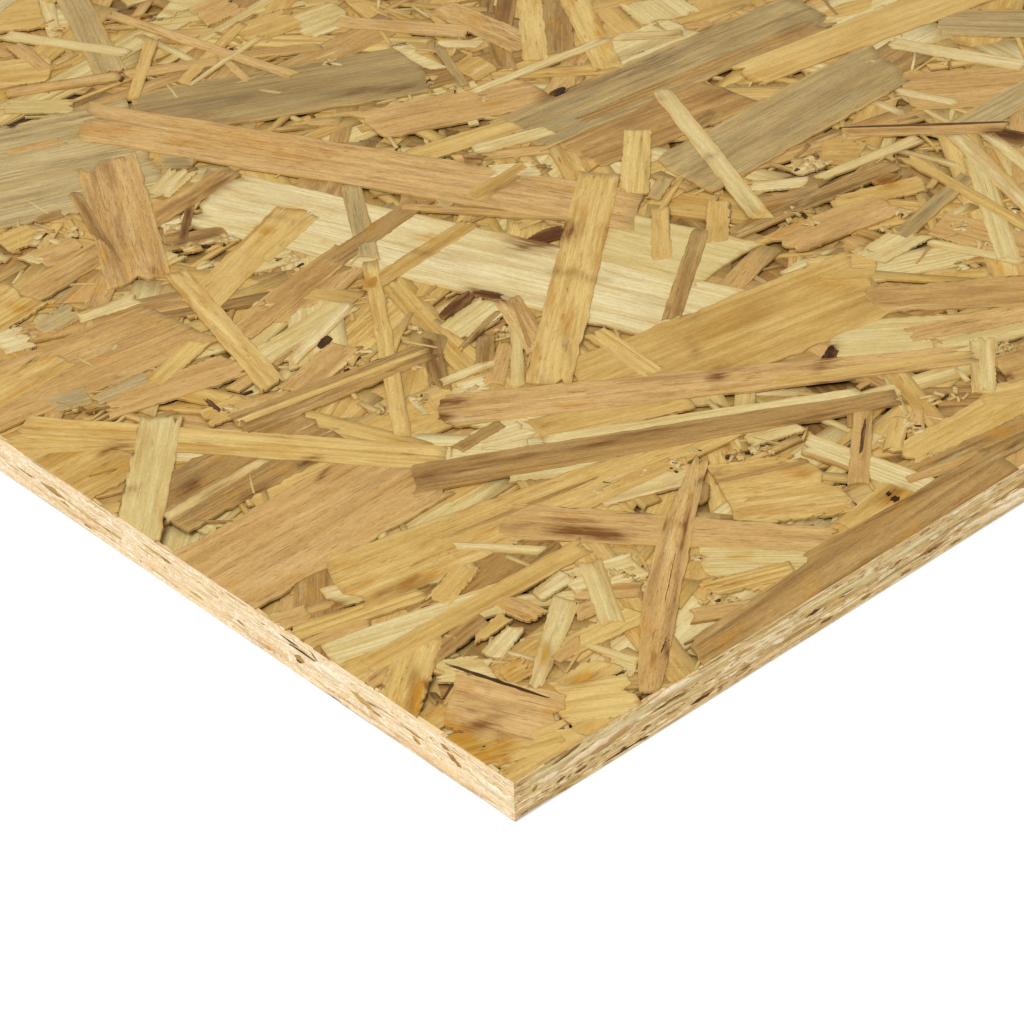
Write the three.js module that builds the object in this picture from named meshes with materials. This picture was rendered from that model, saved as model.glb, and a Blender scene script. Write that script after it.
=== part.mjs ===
// A full sheet of oriented strand board: wood strands pressed with resin into one flat panel and sawn
// square on all four sides. Millimetres, +Z up. The sheet lies flat, its length along X and its width
// along Y, with the origin in the middle of the face that it lies on.
//
// The face strands run mostly along the length, so the long sides show strands sawn along the grain
// and the short ends show them sawn across it. The sheet is pressed as one piece and sawn after, so it
// is one solid: a rectangle of the sheet's size, raised by its thickness, with the saw's sharp arrises
// knocked back by a hair all round.

import * as THREE from "three";

// Driving dimensions.
const SHEET_LENGTH = 2440; // along X, the direction that the face strands follow
const SHEET_WIDTH = 1220; // along Y
const SHEET_THICKNESS = 9;
const ARRIS = 0.4; // flat left where handling has rubbed the sawn edge off, the same on both faces

// Finish of the pressed and sanded face.
const STRAND_TAN = 0xcdac7c;
const FACE_ROUGHNESS = 0.8;
const WOOD_METALNESS = 0;

/** The sheet's outline, as the saw leaves it, centred on the origin. */
function sawnOutline(length, width) {
  const outline = new THREE.Shape();
  outline.moveTo(-length / 2, -width / 2);
  outline.lineTo(length / 2, -width / 2);
  outline.lineTo(length / 2, width / 2);
  outline.lineTo(-length / 2, width / 2);
  outline.closePath();
  return outline;
}

/** The whole sheet: the outline raised by the thickness, with its arrises eased on both faces. */
function pressedSheet(length, width, thickness, arris) {
  const sheet = new THREE.ExtrudeGeometry(sawnOutline(length, width), {
    depth: thickness - 2 * arris,
    bevelEnabled: true,
    bevelThickness: arris,
    bevelSize: arris,
    bevelOffset: -arris,
    bevelSegments: 1,
  });
  // The extrusion starts at the top of the lower arris, so it is lifted to stand on its lower face.
  sheet.translate(0, 0, arris);
  return sheet;
}

const pressedStrands = new THREE.MeshStandardMaterial({
  color: STRAND_TAN,
  roughness: FACE_ROUGHNESS,
  metalness: WOOD_METALNESS,
});

const panel = new THREE.Mesh(
  pressedSheet(SHEET_LENGTH, SHEET_WIDTH, SHEET_THICKNESS, ARRIS),
  pressedStrands,
);
panel.name = "osb_panel";

const osbSheet = new THREE.Group();
osbSheet.add(panel);

export default osbSheet;
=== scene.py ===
"""A full sheet of oriented strand board, dressed for rendering.

Strands are sliced about half a millimetre thick, glued, laid in a mat with most of the face strands
along the sheet's length, and pressed hot. The face is then a flush mosaic of strands that dip under
one another, with small hollows where none fills the gap. The sheet is sawn square afterwards, which
shows the strands' ends on the two short sides and their long sections on the other two.
"""

import logging
import math
from dataclasses import dataclass, replace
from enum import Enum

import bmesh
import bpy
import numpy as np
from mathutils import Matrix, Vector


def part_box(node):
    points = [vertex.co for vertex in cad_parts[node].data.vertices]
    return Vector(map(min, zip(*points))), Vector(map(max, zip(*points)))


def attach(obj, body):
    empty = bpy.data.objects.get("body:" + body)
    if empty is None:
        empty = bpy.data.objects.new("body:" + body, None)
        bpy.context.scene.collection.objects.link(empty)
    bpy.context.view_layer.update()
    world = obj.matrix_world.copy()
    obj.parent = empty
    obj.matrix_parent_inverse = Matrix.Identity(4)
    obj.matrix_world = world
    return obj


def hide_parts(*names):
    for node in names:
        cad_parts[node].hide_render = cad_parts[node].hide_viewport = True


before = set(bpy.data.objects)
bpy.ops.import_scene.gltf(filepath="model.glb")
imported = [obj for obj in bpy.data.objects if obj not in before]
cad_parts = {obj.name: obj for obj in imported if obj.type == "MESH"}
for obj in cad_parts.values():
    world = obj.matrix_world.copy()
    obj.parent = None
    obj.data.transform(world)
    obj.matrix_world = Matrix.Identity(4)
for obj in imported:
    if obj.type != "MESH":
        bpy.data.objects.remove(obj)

MM = 0.001
NODE = "osb_panel"
BODY = "root"
BAKE_MAP = "OFBake"  # the map that lays each piece out flat
TURN = math.tau
SEEDS = 900.0  # a strand's own number, which picks its rings and its colours, lies below this
FAR_APART = 300.0  # mm, so that no two strands take the same part of a pattern

Array = np.ndarray
Draw = np.random.Generator
Mesh = bpy.types.Mesh
Piece = bpy.types.Object
Socket = bpy.types.NodeSocket


def linear(hex_colour: str) -> tuple[float, float, float, float]:
    """Turns an sRGB hex colour into the linear colour that a shader reads.

    Args:
        hex_colour: the colour as "#rrggbb".

    Returns:
        Linear red, green, blue and an alpha of 1.
    """
    steps = [int(hex_colour[i : i + 2], 16) / 255 for i in (1, 3, 5)]
    light = [s / 12.92 if s <= 0.04045 else ((s + 0.055) / 1.055) ** 2.4 for s in steps]
    return (*light, 1.0)


def add_node(
    tree: bpy.types.NodeTree,
    kind: str,
    inputs: dict | tuple = (),
    output: str | int = 0,
    **settings: object,
) -> Socket:
    """Adds a node with its settings, its constant inputs and its links.

    Args:
        tree: the material's node tree.
        kind: the node's type, without the "ShaderNode" that it starts with.
        inputs: what each input takes, in order, or by name or number: a constant or a socket.
        output: name or number of the output that is wanted.
        settings: properties of the node.

    Returns:
        The output socket.
    """
    made = tree.nodes.new("ShaderNode" + kind)
    for name, value in settings.items():
        setattr(made, name, value)
    for name, term in inputs.items() if isinstance(inputs, dict) else enumerate(inputs):
        if isinstance(term, Socket):
            tree.links.new(term, made.inputs[name])
        else:
            made.inputs[name].default_value = term
    return made.outputs[output]


def add_object(name: str, data: bpy.types.ID, place: Matrix = Matrix()) -> Piece:
    """Adds an object to the scene.

    Args:
        name: the object's name.
        data: its mesh, light or camera.
        place: where it stands, and how it is turned.

    Returns:
        The object.
    """
    made = bpy.data.objects.new(name, data)
    made.matrix_world = place
    bpy.context.scene.collection.objects.link(made)
    return made


def add_attribute(mesh: Mesh, name: str, kind: str, domain: str, values: object) -> None:
    """Stores a number or a vector for each point, corner or face of a mesh."""
    key = "vector" if kind == "FLOAT_VECTOR" else "value"
    mesh.attributes.new(name, kind, domain).data.foreach_set(key, values)


class Wood(Enum):
    """What a strand was sliced from. The value is its finish's place among a piece's materials."""

    PINE = 0
    RINGED = 1
    SAPWOOD = 2
    BEECH = 3
    BROWN = 4
    STAINED = 5
    BARK = 6
    END = 7
    SAWN = 8


@dataclass(frozen=True)
class Pattern:
    """A noise that runs with the fibres."""

    size: tuple[float, float]  # mm along and across them
    octaves: float
    place: float = 0.0  # the part of the noise that it takes
    start: float = 0.0  # the noise where it begins to show
    full: float = 1.0  # and where it shows in full

    def scaled(self, size: tuple[float, float]) -> "Pattern":
        """The same pattern, its size being shares of another size."""
        return replace(self, size=(self.size[0] * size[0], self.size[1] * size[1]))


@dataclass(frozen=True)
class Patch(Pattern):
    """Wood of another colour, in patches feathered along the fibres."""

    share: float = 0.5  # of its colour that it takes on
    colour: str = "#bb8326"


# What marks every strand, whatever wood it is. The first four are sized by the finish: its clouds
# and the bands between them, its bundles of fibres and the fine lines in them.
CLOUDS = Pattern((1.0, 1.0), 4.0)
BANDS = Pattern((1.6, 0.25), 3.0, 13.0)
BUNDLES = Pattern((1.0, 1.0), 4.0, 3.0)
LINES = Pattern((0.25, 0.4), 2.0, 9.0)
DRIFT = Pattern((130.0, 13.0), 1.0)  # of the growth rings across the strand
FADE = Pattern((45.0, 3.5), 1.0, 7.0, 0.28, 0.6)  # where the rings show
STREAK = Pattern((22.0, 3.0), 3.0, 19.0, 0.46, 0.68)  # resin and heartwood
SPECKS = Pattern((0.9, 0.4), 2.0, 97.0)  # dust and pores
DASHES = Pattern((3.2, 0.36), 2.0, 29.0, 0.56, 0.7)  # rays and long pores
SMEAR = Pattern((14.0, 1.5), 3.0, 47.0)  # how far the press smeared a rim
OOZE = Pattern((24.0, 9.0), 2.0, 31.0, 0.56, 0.7)  # resin that gathered at a rim
FRAY_HIGHLIGHT_SHADE = Pattern((9.0, 4.0), 3.0, 53.0)  # stretches of a rim: frayed pale with a painted highlight where it is high, painted shade where it is low
UPTAKE = Pattern((8.0, 0.9), 3.0, 79.0)  # how readily fibres take up a stain
CHECKS = Pattern((13.0, 0.5), 3.0, 41.0, 0.61, 0.72)  # cracks where the knife opened the grain, coloured brown as painted shade inside them

MID_LEVEL = 0.5  # of a noise, and of the ramp from dark to pale
NOISE_ROUGHNESS = 0.6
FIBRE_MIX = (0.4, 0.3, 0.3)  # shares of bundles, fine lines and specks
FIBRE_GAIN = 5.35  # how far they darken and lighten, for a finish's fibre depth of 1
LATEWOOD = (0.3, 0.88)  # where in a ring it darkens, and is darkest
RING_EDGE = (0.9, 1.0)  # where it breaks off
CLOSEST_RING = 0.45  # spacing, as a share of the finish's
RING_START = 0.37  # how a strand's seed moves its first ring
WEAKEST_RING = 0.4  # depth, as a share of the finish's
PATCH_LUCK = (0.8, 0.2)  # how much of the patches a strand has by luck, and how much for certain
SMEAR_REACH = (5.0, -1.3)  # mm of rim that is smeared: gain on the noise, and offset
SMEAR_SOFT = 1.3  # mm over which a smear ends
BRINK = (0.02, 0.7)  # mm in from the rim, over which its fraying, painted highlight and painted shade end
FRAY_HIGHLIGHT_SHADE_GAIN = (2.6, -1.33)  # on the noise: pale fray and painted highlight where it is high, painted shade where it is low
UPTAKE_GAIN = (3.0, -0.5)
STAIN_ENDS, STAIN_SIDES = 4, 2  # how abruptly a stain fades at its ends and at its sides
RESIN = "#a06c28"
DYES = (("stain", "#a28468"), ("resin", "#e8ca7e"))  # attribute, and what it turns white wood to
RING_RELIEF = 0.3
RELIEF_MM = 0.06
RELIEF_STRENGTH = 0.4
WHITE = (1.0, 1.0, 1.0, 1.0)
SHARE, UNDER, OVER, MIXED = 0, 6, 7, 2  # sockets of a Mix node that mixes colours


class Weave:
    """One wood's node tree, and what its nodes read of a strand."""

    def __init__(self, tree: bpy.types.NodeTree) -> None:
        """Reads the strand's own numbers, and draws three more from its seed.

        Args:
            tree: the material's node tree.
        """
        self.tree = tree
        self.grain = self.add("Attribute", (), "Vector", attribute_name="grain")
        self.tone = self.add("Attribute", (), "Fac", attribute_name="tone")
        self.rim = self.add("Attribute", (), "Fac", attribute_name="rim")
        self.across, self.seed = self.add("SeparateXYZ", (self.grain,)).node.outputs[1:]
        luck = self.add("TexWhiteNoise", {"W": self.seed}, "Color", noise_dimensions="1D")
        lucks = self.add("SeparateColor", (luck,)).node.outputs
        self.ring_luck, self.depth_luck, self.streak_luck = lucks

    def add(self, kind: str, *terms: object, **settings: object) -> Socket:
        """Adds a node to the tree, as add_node does."""
        return add_node(self.tree, kind, *terms, **settings)

    def noise(self, pattern: Pattern) -> Socket:
        """A pattern stretched along the fibres, by its real size each way.

        Args:
            pattern: the pattern.

        Returns:
            The noise, from 0 to 1.
        """
        long, wide = pattern.size
        scale, shift = (1 / long, 1 / wide, 1.0), (pattern.place,) * 3
        spread = self.add("VectorMath", (self.grain, scale, shift), operation="MULTIPLY_ADD")
        values = {"Scale": 1.0, "Detail": pattern.octaves, "Roughness": NOISE_ROUGHNESS}
        return self.add("TexNoise", {"Vector": spread, **values}, "Fac")

    def shown(self, pattern: Pattern) -> Socket:
        """Where a pattern shows, from 0 to 1, with soft edges."""
        span = (self.noise(pattern), pattern.start, pattern.full)
        return self.add("MapRange", span, interpolation_type="SMOOTHSTEP")


@dataclass(frozen=True)
class WoodFinish:
    """Raw sliced wood, pressed flat under a thin film of resin: matt, with grain along the strand.

    The grain attribute gives millimetres along and across the strand, and a number of its own for
    each strand, so every pattern has its real size and runs with the fibres.
    """

    name: str
    pale: str
    body: str
    dark: str
    latewood: str
    ring_mm: float  # spacing of the growth rings where the slice crosses them
    ring_depth: float
    fibre_depth: float
    fleck_depth: float = 0.0  # short dark dashes of rays and pores
    streak_depth: float = 0.9  # long brown streaks of resin and heartwood
    streak: str = "#a8742c"
    fibre_mm: tuple[float, float] = (12.0, 0.25)  # a bundle of fibres, along and across
    cloud_mm: tuple[float, float] = (34.0, 7.0)  # a patch of paler or darker wood
    crack_shade_depth: float = 0.6
    roughness: float = 0.62
    shine: float = 0.12
    drift_mm: float = 15.0  # how far the rings wander across the strand
    mat: str = "#c3a05e"  # the mean colour of the strands round it, which its rim takes on
    patches: tuple[Patch, ...] = (
        Patch((12.0, 4.0), 4.0, 61.0, 0.54, 0.72, 0.75, "#bb8326"),
        Patch((6.0, 1.3), 4.0, 67.0, 0.58, 0.72, 0.75, "#865524"),
        Patch((18.0, 2.6), 4.0, 73.0, 0.55, 0.72, 0.5, "#ddc88e"),
    )
    tone_depth: float = 0.35  # how far a strand's own tone moves it from dark to pale
    cloud_depth: float = 0.9
    band_depth: float = 0.8
    smear_depth: float = 0.6
    ooze_depth: float = 0.55
    # how far the rim's fraying, painted highlight and painted shade move its colour
    fray_highlight_shade_depth: float = 0.42

    def _body(self, weave: Weave) -> Socket:
        """The strand's own tone, clouded and banded along the grain.

        Args:
            weave: the wood's node tree.

        Returns:
            The colour.
        """
        level = weave.add("Math", (weave.tone, self.tone_depth, MID_LEVEL), operation="MULTIPLY_ADD")
        for pattern, depth in ((BANDS, self.band_depth), (CLOUDS, self.cloud_depth)):
            noise = weave.noise(pattern.scaled(self.cloud_mm))
            off = weave.add("Math", (noise, MID_LEVEL), operation="SUBTRACT")
            level = weave.add("Math", (off, depth, level), operation="MULTIPLY_ADD")
        tint = weave.add("ValToRGB", (level,))
        ramp = tint.node.color_ramp
        ramp.elements[0].color, ramp.elements[1].color = linear(self.dark), linear(self.pale)
        ramp.elements.new(MID_LEVEL).color = linear(self.body)
        return tint

    def _rings(self, weave: Weave) -> Socket:
        """Growth rings: long lines that wander, some close and some wide, as the slice runs nearly
        along the grain, each dark on one side and fading on the other.

        Args:
            weave: the wood's node tree.

        Returns:
            How far the latewood shows.
        """
        sway = weave.add("Math", (weave.noise(DRIFT), MID_LEVEL), operation="SUBTRACT")
        place = weave.add("Math", (sway, self.drift_mm, weave.across), operation="MULTIPLY_ADD")
        spacing = weave.add(
            "Math", (weave.ring_luck, self.ring_mm, self.ring_mm * CLOSEST_RING), operation="MULTIPLY_ADD"
        )
        count = weave.add("Math", (place, spacing), operation="DIVIDE")
        started = weave.add("Math", (weave.seed, RING_START, count), operation="MULTIPLY_ADD")
        phase = weave.add("Math", (started,), operation="FRACT")
        late = weave.add("MapRange", (phase, *LATEWOOD), interpolation_type="SMOOTHSTEP")
        past = weave.add("MapRange", (phase, *RING_EDGE), interpolation_type="SMOOTHSTEP")
        within = weave.add("Math", (1.0, past), operation="SUBTRACT")
        least = WEAKEST_RING * self.ring_depth
        terms = (weave.depth_luck, self.ring_depth - least, least)
        depth = weave.add("Math", terms, operation="MULTIPLY_ADD")
        made = late
        for share in (within, weave.shown(FADE), depth):
            made = weave.add("Math", (made, share), operation="MULTIPLY")
        return made

    def _fibre(self, weave: Weave) -> Socket:
        """Fine lines, and specks of dust and pores, that darken and lighten what they cross.

        Args:
            weave: the wood's node tree.

        Returns:
            Their height, about MID_LEVEL.
        """
        bundles, lines = (pattern.scaled(self.fibre_mm) for pattern in (BUNDLES, LINES))
        made = 0.0
        for pattern, share in zip((bundles, lines, SPECKS), FIBRE_MIX):
            made = weave.add("Math", (weave.noise(pattern), share, made), operation="MULTIPLY_ADD")
        return made

    def _streaked(self, weave: Weave, colour: Socket) -> Socket:
        """Streaks and patches: resin that boiled out amber, heartwood and short brown marks, on
        some strands and not on others.

        Args:
            weave: the wood's node tree.
            colour: the wood's colour so far.

        Returns:
            The colour with them.
        """
        spread = weave.add("Math", (weave.streak_luck, *PATCH_LUCK), operation="MULTIPLY_ADD")
        streak = Patch(**vars(STREAK), share=self.streak_depth, colour=self.streak)
        for patch, luck in ((streak, weave.streak_luck), *((patch, spread) for patch in self.patches)):
            most = weave.add("Math", (luck, patch.share), operation="MULTIPLY")
            share = weave.add("Math", (weave.shown(patch), most), operation="MULTIPLY")
            terms = {SHARE: share, UNDER: colour, OVER: linear(patch.colour)}
            colour = weave.add("Mix", terms, MIXED, data_type="RGBA")
        return colour

    def _rimmed(self, weave: Weave, colour: Socket) -> Socket:
        """The rim: smeared into the strands round it, amber where resin gathered, frayed pale where the
        knife tore it, with a painted highlight on its pale stretches and painted shade on its dark ones.

        Args:
            weave: the wood's node tree.
            colour: the wood's colour so far.

        Returns:
            The colour with its rim.
        """
        reach = weave.add("Math", (weave.noise(SMEAR), *SMEAR_REACH), operation="MULTIPLY_ADD")
        inside = weave.add("Math", (reach, weave.rim), operation="SUBTRACT")
        thin = weave.add("MapRange", (inside, 0.0, SMEAR_SOFT), interpolation_type="SMOOTHSTEP")
        for tint, depth in ((self.mat, self.smear_depth), (RESIN, self.ooze_depth)):
            share = weave.add("Math", (thin, depth), operation="MULTIPLY")
            terms = {SHARE: share, UNDER: colour, OVER: linear(tint)}
            colour = weave.add("Mix", terms, MIXED, data_type="RGBA")
            thin = weave.add("Math", (thin, weave.shown(OOZE)), operation="MULTIPLY")
        # Along the rim, by a noise: paler frayed fibres with a painted highlight, and painted shade.
        fray_highlight_shade = weave.add("Math", (weave.noise(FRAY_HIGHLIGHT_SHADE), *FRAY_HIGHLIGHT_SHADE_GAIN), operation="MULTIPLY_ADD")
        in_from = weave.add("MapRange", (weave.rim, *BRINK), interpolation_type="SMOOTHSTEP")
        brink = weave.add("Math", (1.0, in_from), operation="SUBTRACT")
        edge = weave.add("Math", (brink, fray_highlight_shade), operation="MULTIPLY")
        gain = weave.add("Math", (edge, self.fray_highlight_shade_depth, 1.0), operation="MULTIPLY_ADD")
        return weave.add("VectorMath", (colour, gain), operation="MULTIPLY")

    def _dyed(self, weave: Weave, colour: Socket) -> Socket:
        """Listed stains: they darken the wood, more in some fibres than in others.

        Args:
            weave: the wood's node tree.
            colour: the wood's colour so far.

        Returns:
            The colour, stained.
        """
        uptake = weave.add("Math", (weave.noise(UPTAKE), *UPTAKE_GAIN), operation="MULTIPLY_ADD")
        dyed = WHITE
        for name, dye in DYES:
            mark = weave.add("Attribute", (), "Fac", attribute_name=name)
            share = weave.add("Math", (mark, uptake), operation="MULTIPLY", use_clamp=True)
            dyed = weave.add("Mix", {SHARE: share, UNDER: dyed, OVER: linear(dye)}, MIXED, data_type="RGBA")
        return weave.add("VectorMath", (colour, dyed), operation="MULTIPLY")

    def material(self) -> bpy.types.Material:
        """Builds the finish as a node material.

        Returns:
            The material, with its colour, relief and gloss.
        """
        made = bpy.data.materials.new(self.name)
        made.use_nodes = True
        shader = made.node_tree.nodes["Principled BSDF"]
        weave = Weave(made.node_tree)
        rings, fibre = self._rings(weave), self._fibre(weave)
        terms = {SHARE: rings, UNDER: self._body(weave), OVER: linear(self.latewood)}
        colour = weave.add("Mix", terms, MIXED, data_type="RGBA")
        colour = self._streaked(weave, colour)
        line = weave.add("Math", (fibre, MID_LEVEL), operation="SUBTRACT")
        gain = weave.add("Math", (line, self.fibre_depth * FIBRE_GAIN, 1.0), operation="MULTIPLY_ADD")
        colour = weave.add("VectorMath", (colour, gain), operation="MULTIPLY")
        flecks = weave.add("Math", (weave.shown(DASHES), self.fleck_depth), operation="MULTIPLY")
        terms = {SHARE: flecks, UNDER: colour, OVER: linear(self.dark)}
        colour = weave.add("Mix", terms, MIXED, data_type="RGBA")
        colour = self._dyed(weave, self._rimmed(weave, colour))
        # Cracks take the streak's brown as painted shade inside them, and lower the bump.
        crack = weave.shown(CHECKS)
        crack_shade = weave.add("Math", (crack, self.crack_shade_depth), operation="MULTIPLY")
        terms = {SHARE: crack_shade, UNDER: colour, OVER: linear(self.streak)}
        colour = weave.add("Mix", terms, MIXED, data_type="RGBA")
        ridge = weave.add("Math", (rings, RING_RELIEF, fibre), operation="MULTIPLY_ADD")
        relief = weave.add("Math", (ridge, crack), operation="SUBTRACT")
        heights = {"Strength": RELIEF_STRENGTH, "Distance": RELIEF_MM * MM, "Height": relief}
        weave.tree.links.new(weave.add("Bump", heights), shader.inputs["Normal"])
        weave.tree.links.new(colour, shader.inputs["Base Color"])
        shader.inputs["Roughness"].default_value = self.roughness
        shader.inputs["Specular IOR Level"].default_value = self.shine
        return made


FINISHES: dict[Wood, WoodFinish] = {
    # Yellow wood between the rings, with soft amber clouds.
    Wood.PINE: WoodFinish(
        "pine", "#d8b974", "#c8a55e", "#9e752f", "#986b26", 3.0, 0.34, 0.28, 0.2, 0.7, cloud_mm=(24.0, 9.0)
    ),
    # The same wood, sliced so that close dark rings run along it.
    Wood.RINGED: WoodFinish(
        "ringed_pine", "#dcbf79", "#ccab62", "#a67e36", "#9c7029", 2.4, 0.66, 0.26, 0.15, 0.7
    ),
    # Young outer wood: cream, the palest of the face.
    Wood.SAPWOOD: WoodFinish(
        "pine_sapwood", "#e1d1a0", "#d1ba7c", "#ad904d", "#9f803c", 2.2, 0.5, 0.26, 0.2, 0.5,
        patches=(
            Patch((12.0, 4.0), 4.0, 61.0, 0.56, 0.74, 0.6, "#c2923c"),
            Patch((6.0, 1.3), 4.0, 67.0, 0.6, 0.74, 0.5, "#9a7138"),
            Patch((18.0, 2.6), 4.0, 73.0, 0.52, 0.72, 0.5, "#e2d4a6"),
        ),
    ),
    # Dense pinkish-tan wood with short dark dashes.
    Wood.BEECH: WoodFinish(
        "beech", "#d5b074", "#c0985a", "#8b6632", "#946b38", 5.0, 0.35, 0.3, 0.6, 0.6, "#774d23"
    ),
    # Old inner wood, brown and heavily lined.
    Wood.BROWN: WoodFinish(
        "brown_heartwood", "#b8965c", "#a37d44", "#694721", "#704b1f", 2.4, 0.65, 0.34, 0.3, 0.8, "#5b3f18",
        mat="#b08d52",
    ),
    # Pine that a fungus greyed before it was sliced.
    Wood.STAINED: WoodFinish(
        "blue_stained_pine", "#c9b17c", "#b0935c", "#7e643a", "#736038", 1.8, 0.5, 0.28, 0.3, 0.6, "#625438",
        patches=(
            Patch((26.0, 3.0), 4.0, 61.0, 0.48, 0.68, 0.7, "#9a8a62"),
            Patch((9.0, 1.2), 4.0, 67.0, 0.58, 0.72, 0.8, "#6d6148"),
            Patch((18.0, 2.6), 4.0, 73.0, 0.55, 0.72, 0.5, "#c9ae74"),
        ),
    ),
    # Specks of bark that passed the peeler, nearly black.
    Wood.BARK: WoodFinish(
        "inner_bark", "#76502a", "#4f3218", "#2e1b0c", "#341f10", 3.0, 0.4, 0.5, 0.5, 0.3, "#22140a",
        mat="#4a2e16",
    ),
    # Fibres sawn across: pale, granular and dull.
    Wood.END: WoodFinish(
        "sawn_end_grain", "#f6e8c9", "#efdbb4", "#d8b27c", "#cfa46a", 1.3, 0.25, 0.17, 0.3, 0.4, "#c19256",
        (0.6, 0.24), (4.0, 1.2), 0.5, 0.85, 0.1, 1.2, "#ecd0a2",
        (
            Patch((4.5, 2.0), 4.0, 61.0, 0.5, 0.66, 0.6, "#e6c592"),
            Patch((2.2, 1.1), 4.0, 77.0, 0.5, 0.6, 0.8, "#fbf3e3"),
            Patch((0.9, 0.7), 4.0, 71.0, 0.53, 0.63, 0.7, "#deb67e"),
            Patch((1.3, 0.9), 4.0, 67.0, 0.58, 0.65, 0.85, "#b98a45"),
        ),
    ),
    # Fibres sawn lengthwise: darker, in fine layers, with its palest patches as a painted highlight and its
    # darkest as painted shade of the gaps between layers.
    Wood.SAWN: WoodFinish(
        "sawn_side", "#f5e1b0", "#e0c389", "#a67f44", "#916a33", 1.6, 0.7, 0.2, 0.5, 0.5, "#8a6032",
        (5.0, 0.3), (14.0, 1.5), 0.7, 0.8, 0.1, 1.6, "#d5b47c",
        (
            Patch((16.0, 1.8), 4.0, 61.0, 0.51, 0.66, 0.7, "#c09150"),
            # palest patches: painted highlight
            Patch((6.0, 1.5), 4.0, 77.0, 0.51, 0.6, 0.85, "#f7e8bf"),
            Patch((2.2, 0.9), 4.0, 71.0, 0.53, 0.63, 0.7, "#a9793c"),
            # darkest patches: painted shade of the gaps between layers
            Patch((4.0, 1.0), 4.0, 67.0, 0.57, 0.64, 0.95, "#6e4a26"),
        ),
    ),
}
PINE, RINGED, SAPWOOD, BEECH, BROWN, STAINED, BARK, END, SAWN = Wood


@dataclass(frozen=True)
class Strand:
    """One knife-cut strand on a face of the sheet. Millimetres, from the sheet's near corner.

    heel and tip are the middles of its two ends, along and across the sheet. storey says how high
    it lies in the mat: of two strands that cross, the one on the higher storey lies on top.
    """

    heel: tuple[float, float]
    tip: tuple[float, float]
    width: float
    wood: Wood
    storey: float
    tone: float = 0.0  # from -1, dark, to 1, pale
    taper: float = 0.15  # share of its width that it loses towards the heel
    ragged: float = 1.0  # how far the splinters of its ends differ in length
    bow: float = 0.0  # how far its middle lies off the line of its ends
    point: float = 0.0  # share of its width that it loses towards both ends


@dataclass(frozen=True)
class Section:
    """What the saw shows of one strand on a side: a flat lens. Millimetres along and up the side."""

    middle: tuple[float, float]
    long: float
    tall: float
    wood: Wood
    tone: float = 0.0
    slope: float = 0.0  # how far it rises over its length
    back: float = 0.0  # how far it lies behind the saw cut
    tight: bool = True  # whether no joint shows round it


@dataclass(frozen=True)
class Seen(Strand):
    """A strand that is listed: heel, tip and width are pixels of the camera's frame."""

    taper: float = 0.1


@dataclass(frozen=True)
class Stain:
    """A mark soaked into the face: heel, tip and width are pixels of the camera's frame."""

    heel: tuple[float, float]
    tip: tuple[float, float]
    width: float
    depth: float = 0.8
    resin: bool = False  # amber resin, rather than dark tannin


@dataclass(frozen=True)
class Nest:
    """A hollow that holds crumbs: its middle and half its width are pixels of the frame."""

    spot: tuple[float, float]
    reach: float
    storey: float = 6.4


def from_rows(kind: type, points: int, table: tuple[tuple, ...]) -> tuple:
    """Makes an object of each row of a table.

    Args:
        kind: the objects' class.
        points: how many of its fields, which come first, are an x and a y.
        table: the rows, each with its fields in order.

    Returns:
        The objects.
    """
    split = range(0, 2 * points, 2)
    return tuple(kind(*(row[i : i + 2] for i in split), *row[2 * points :]) for row in table)


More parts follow.
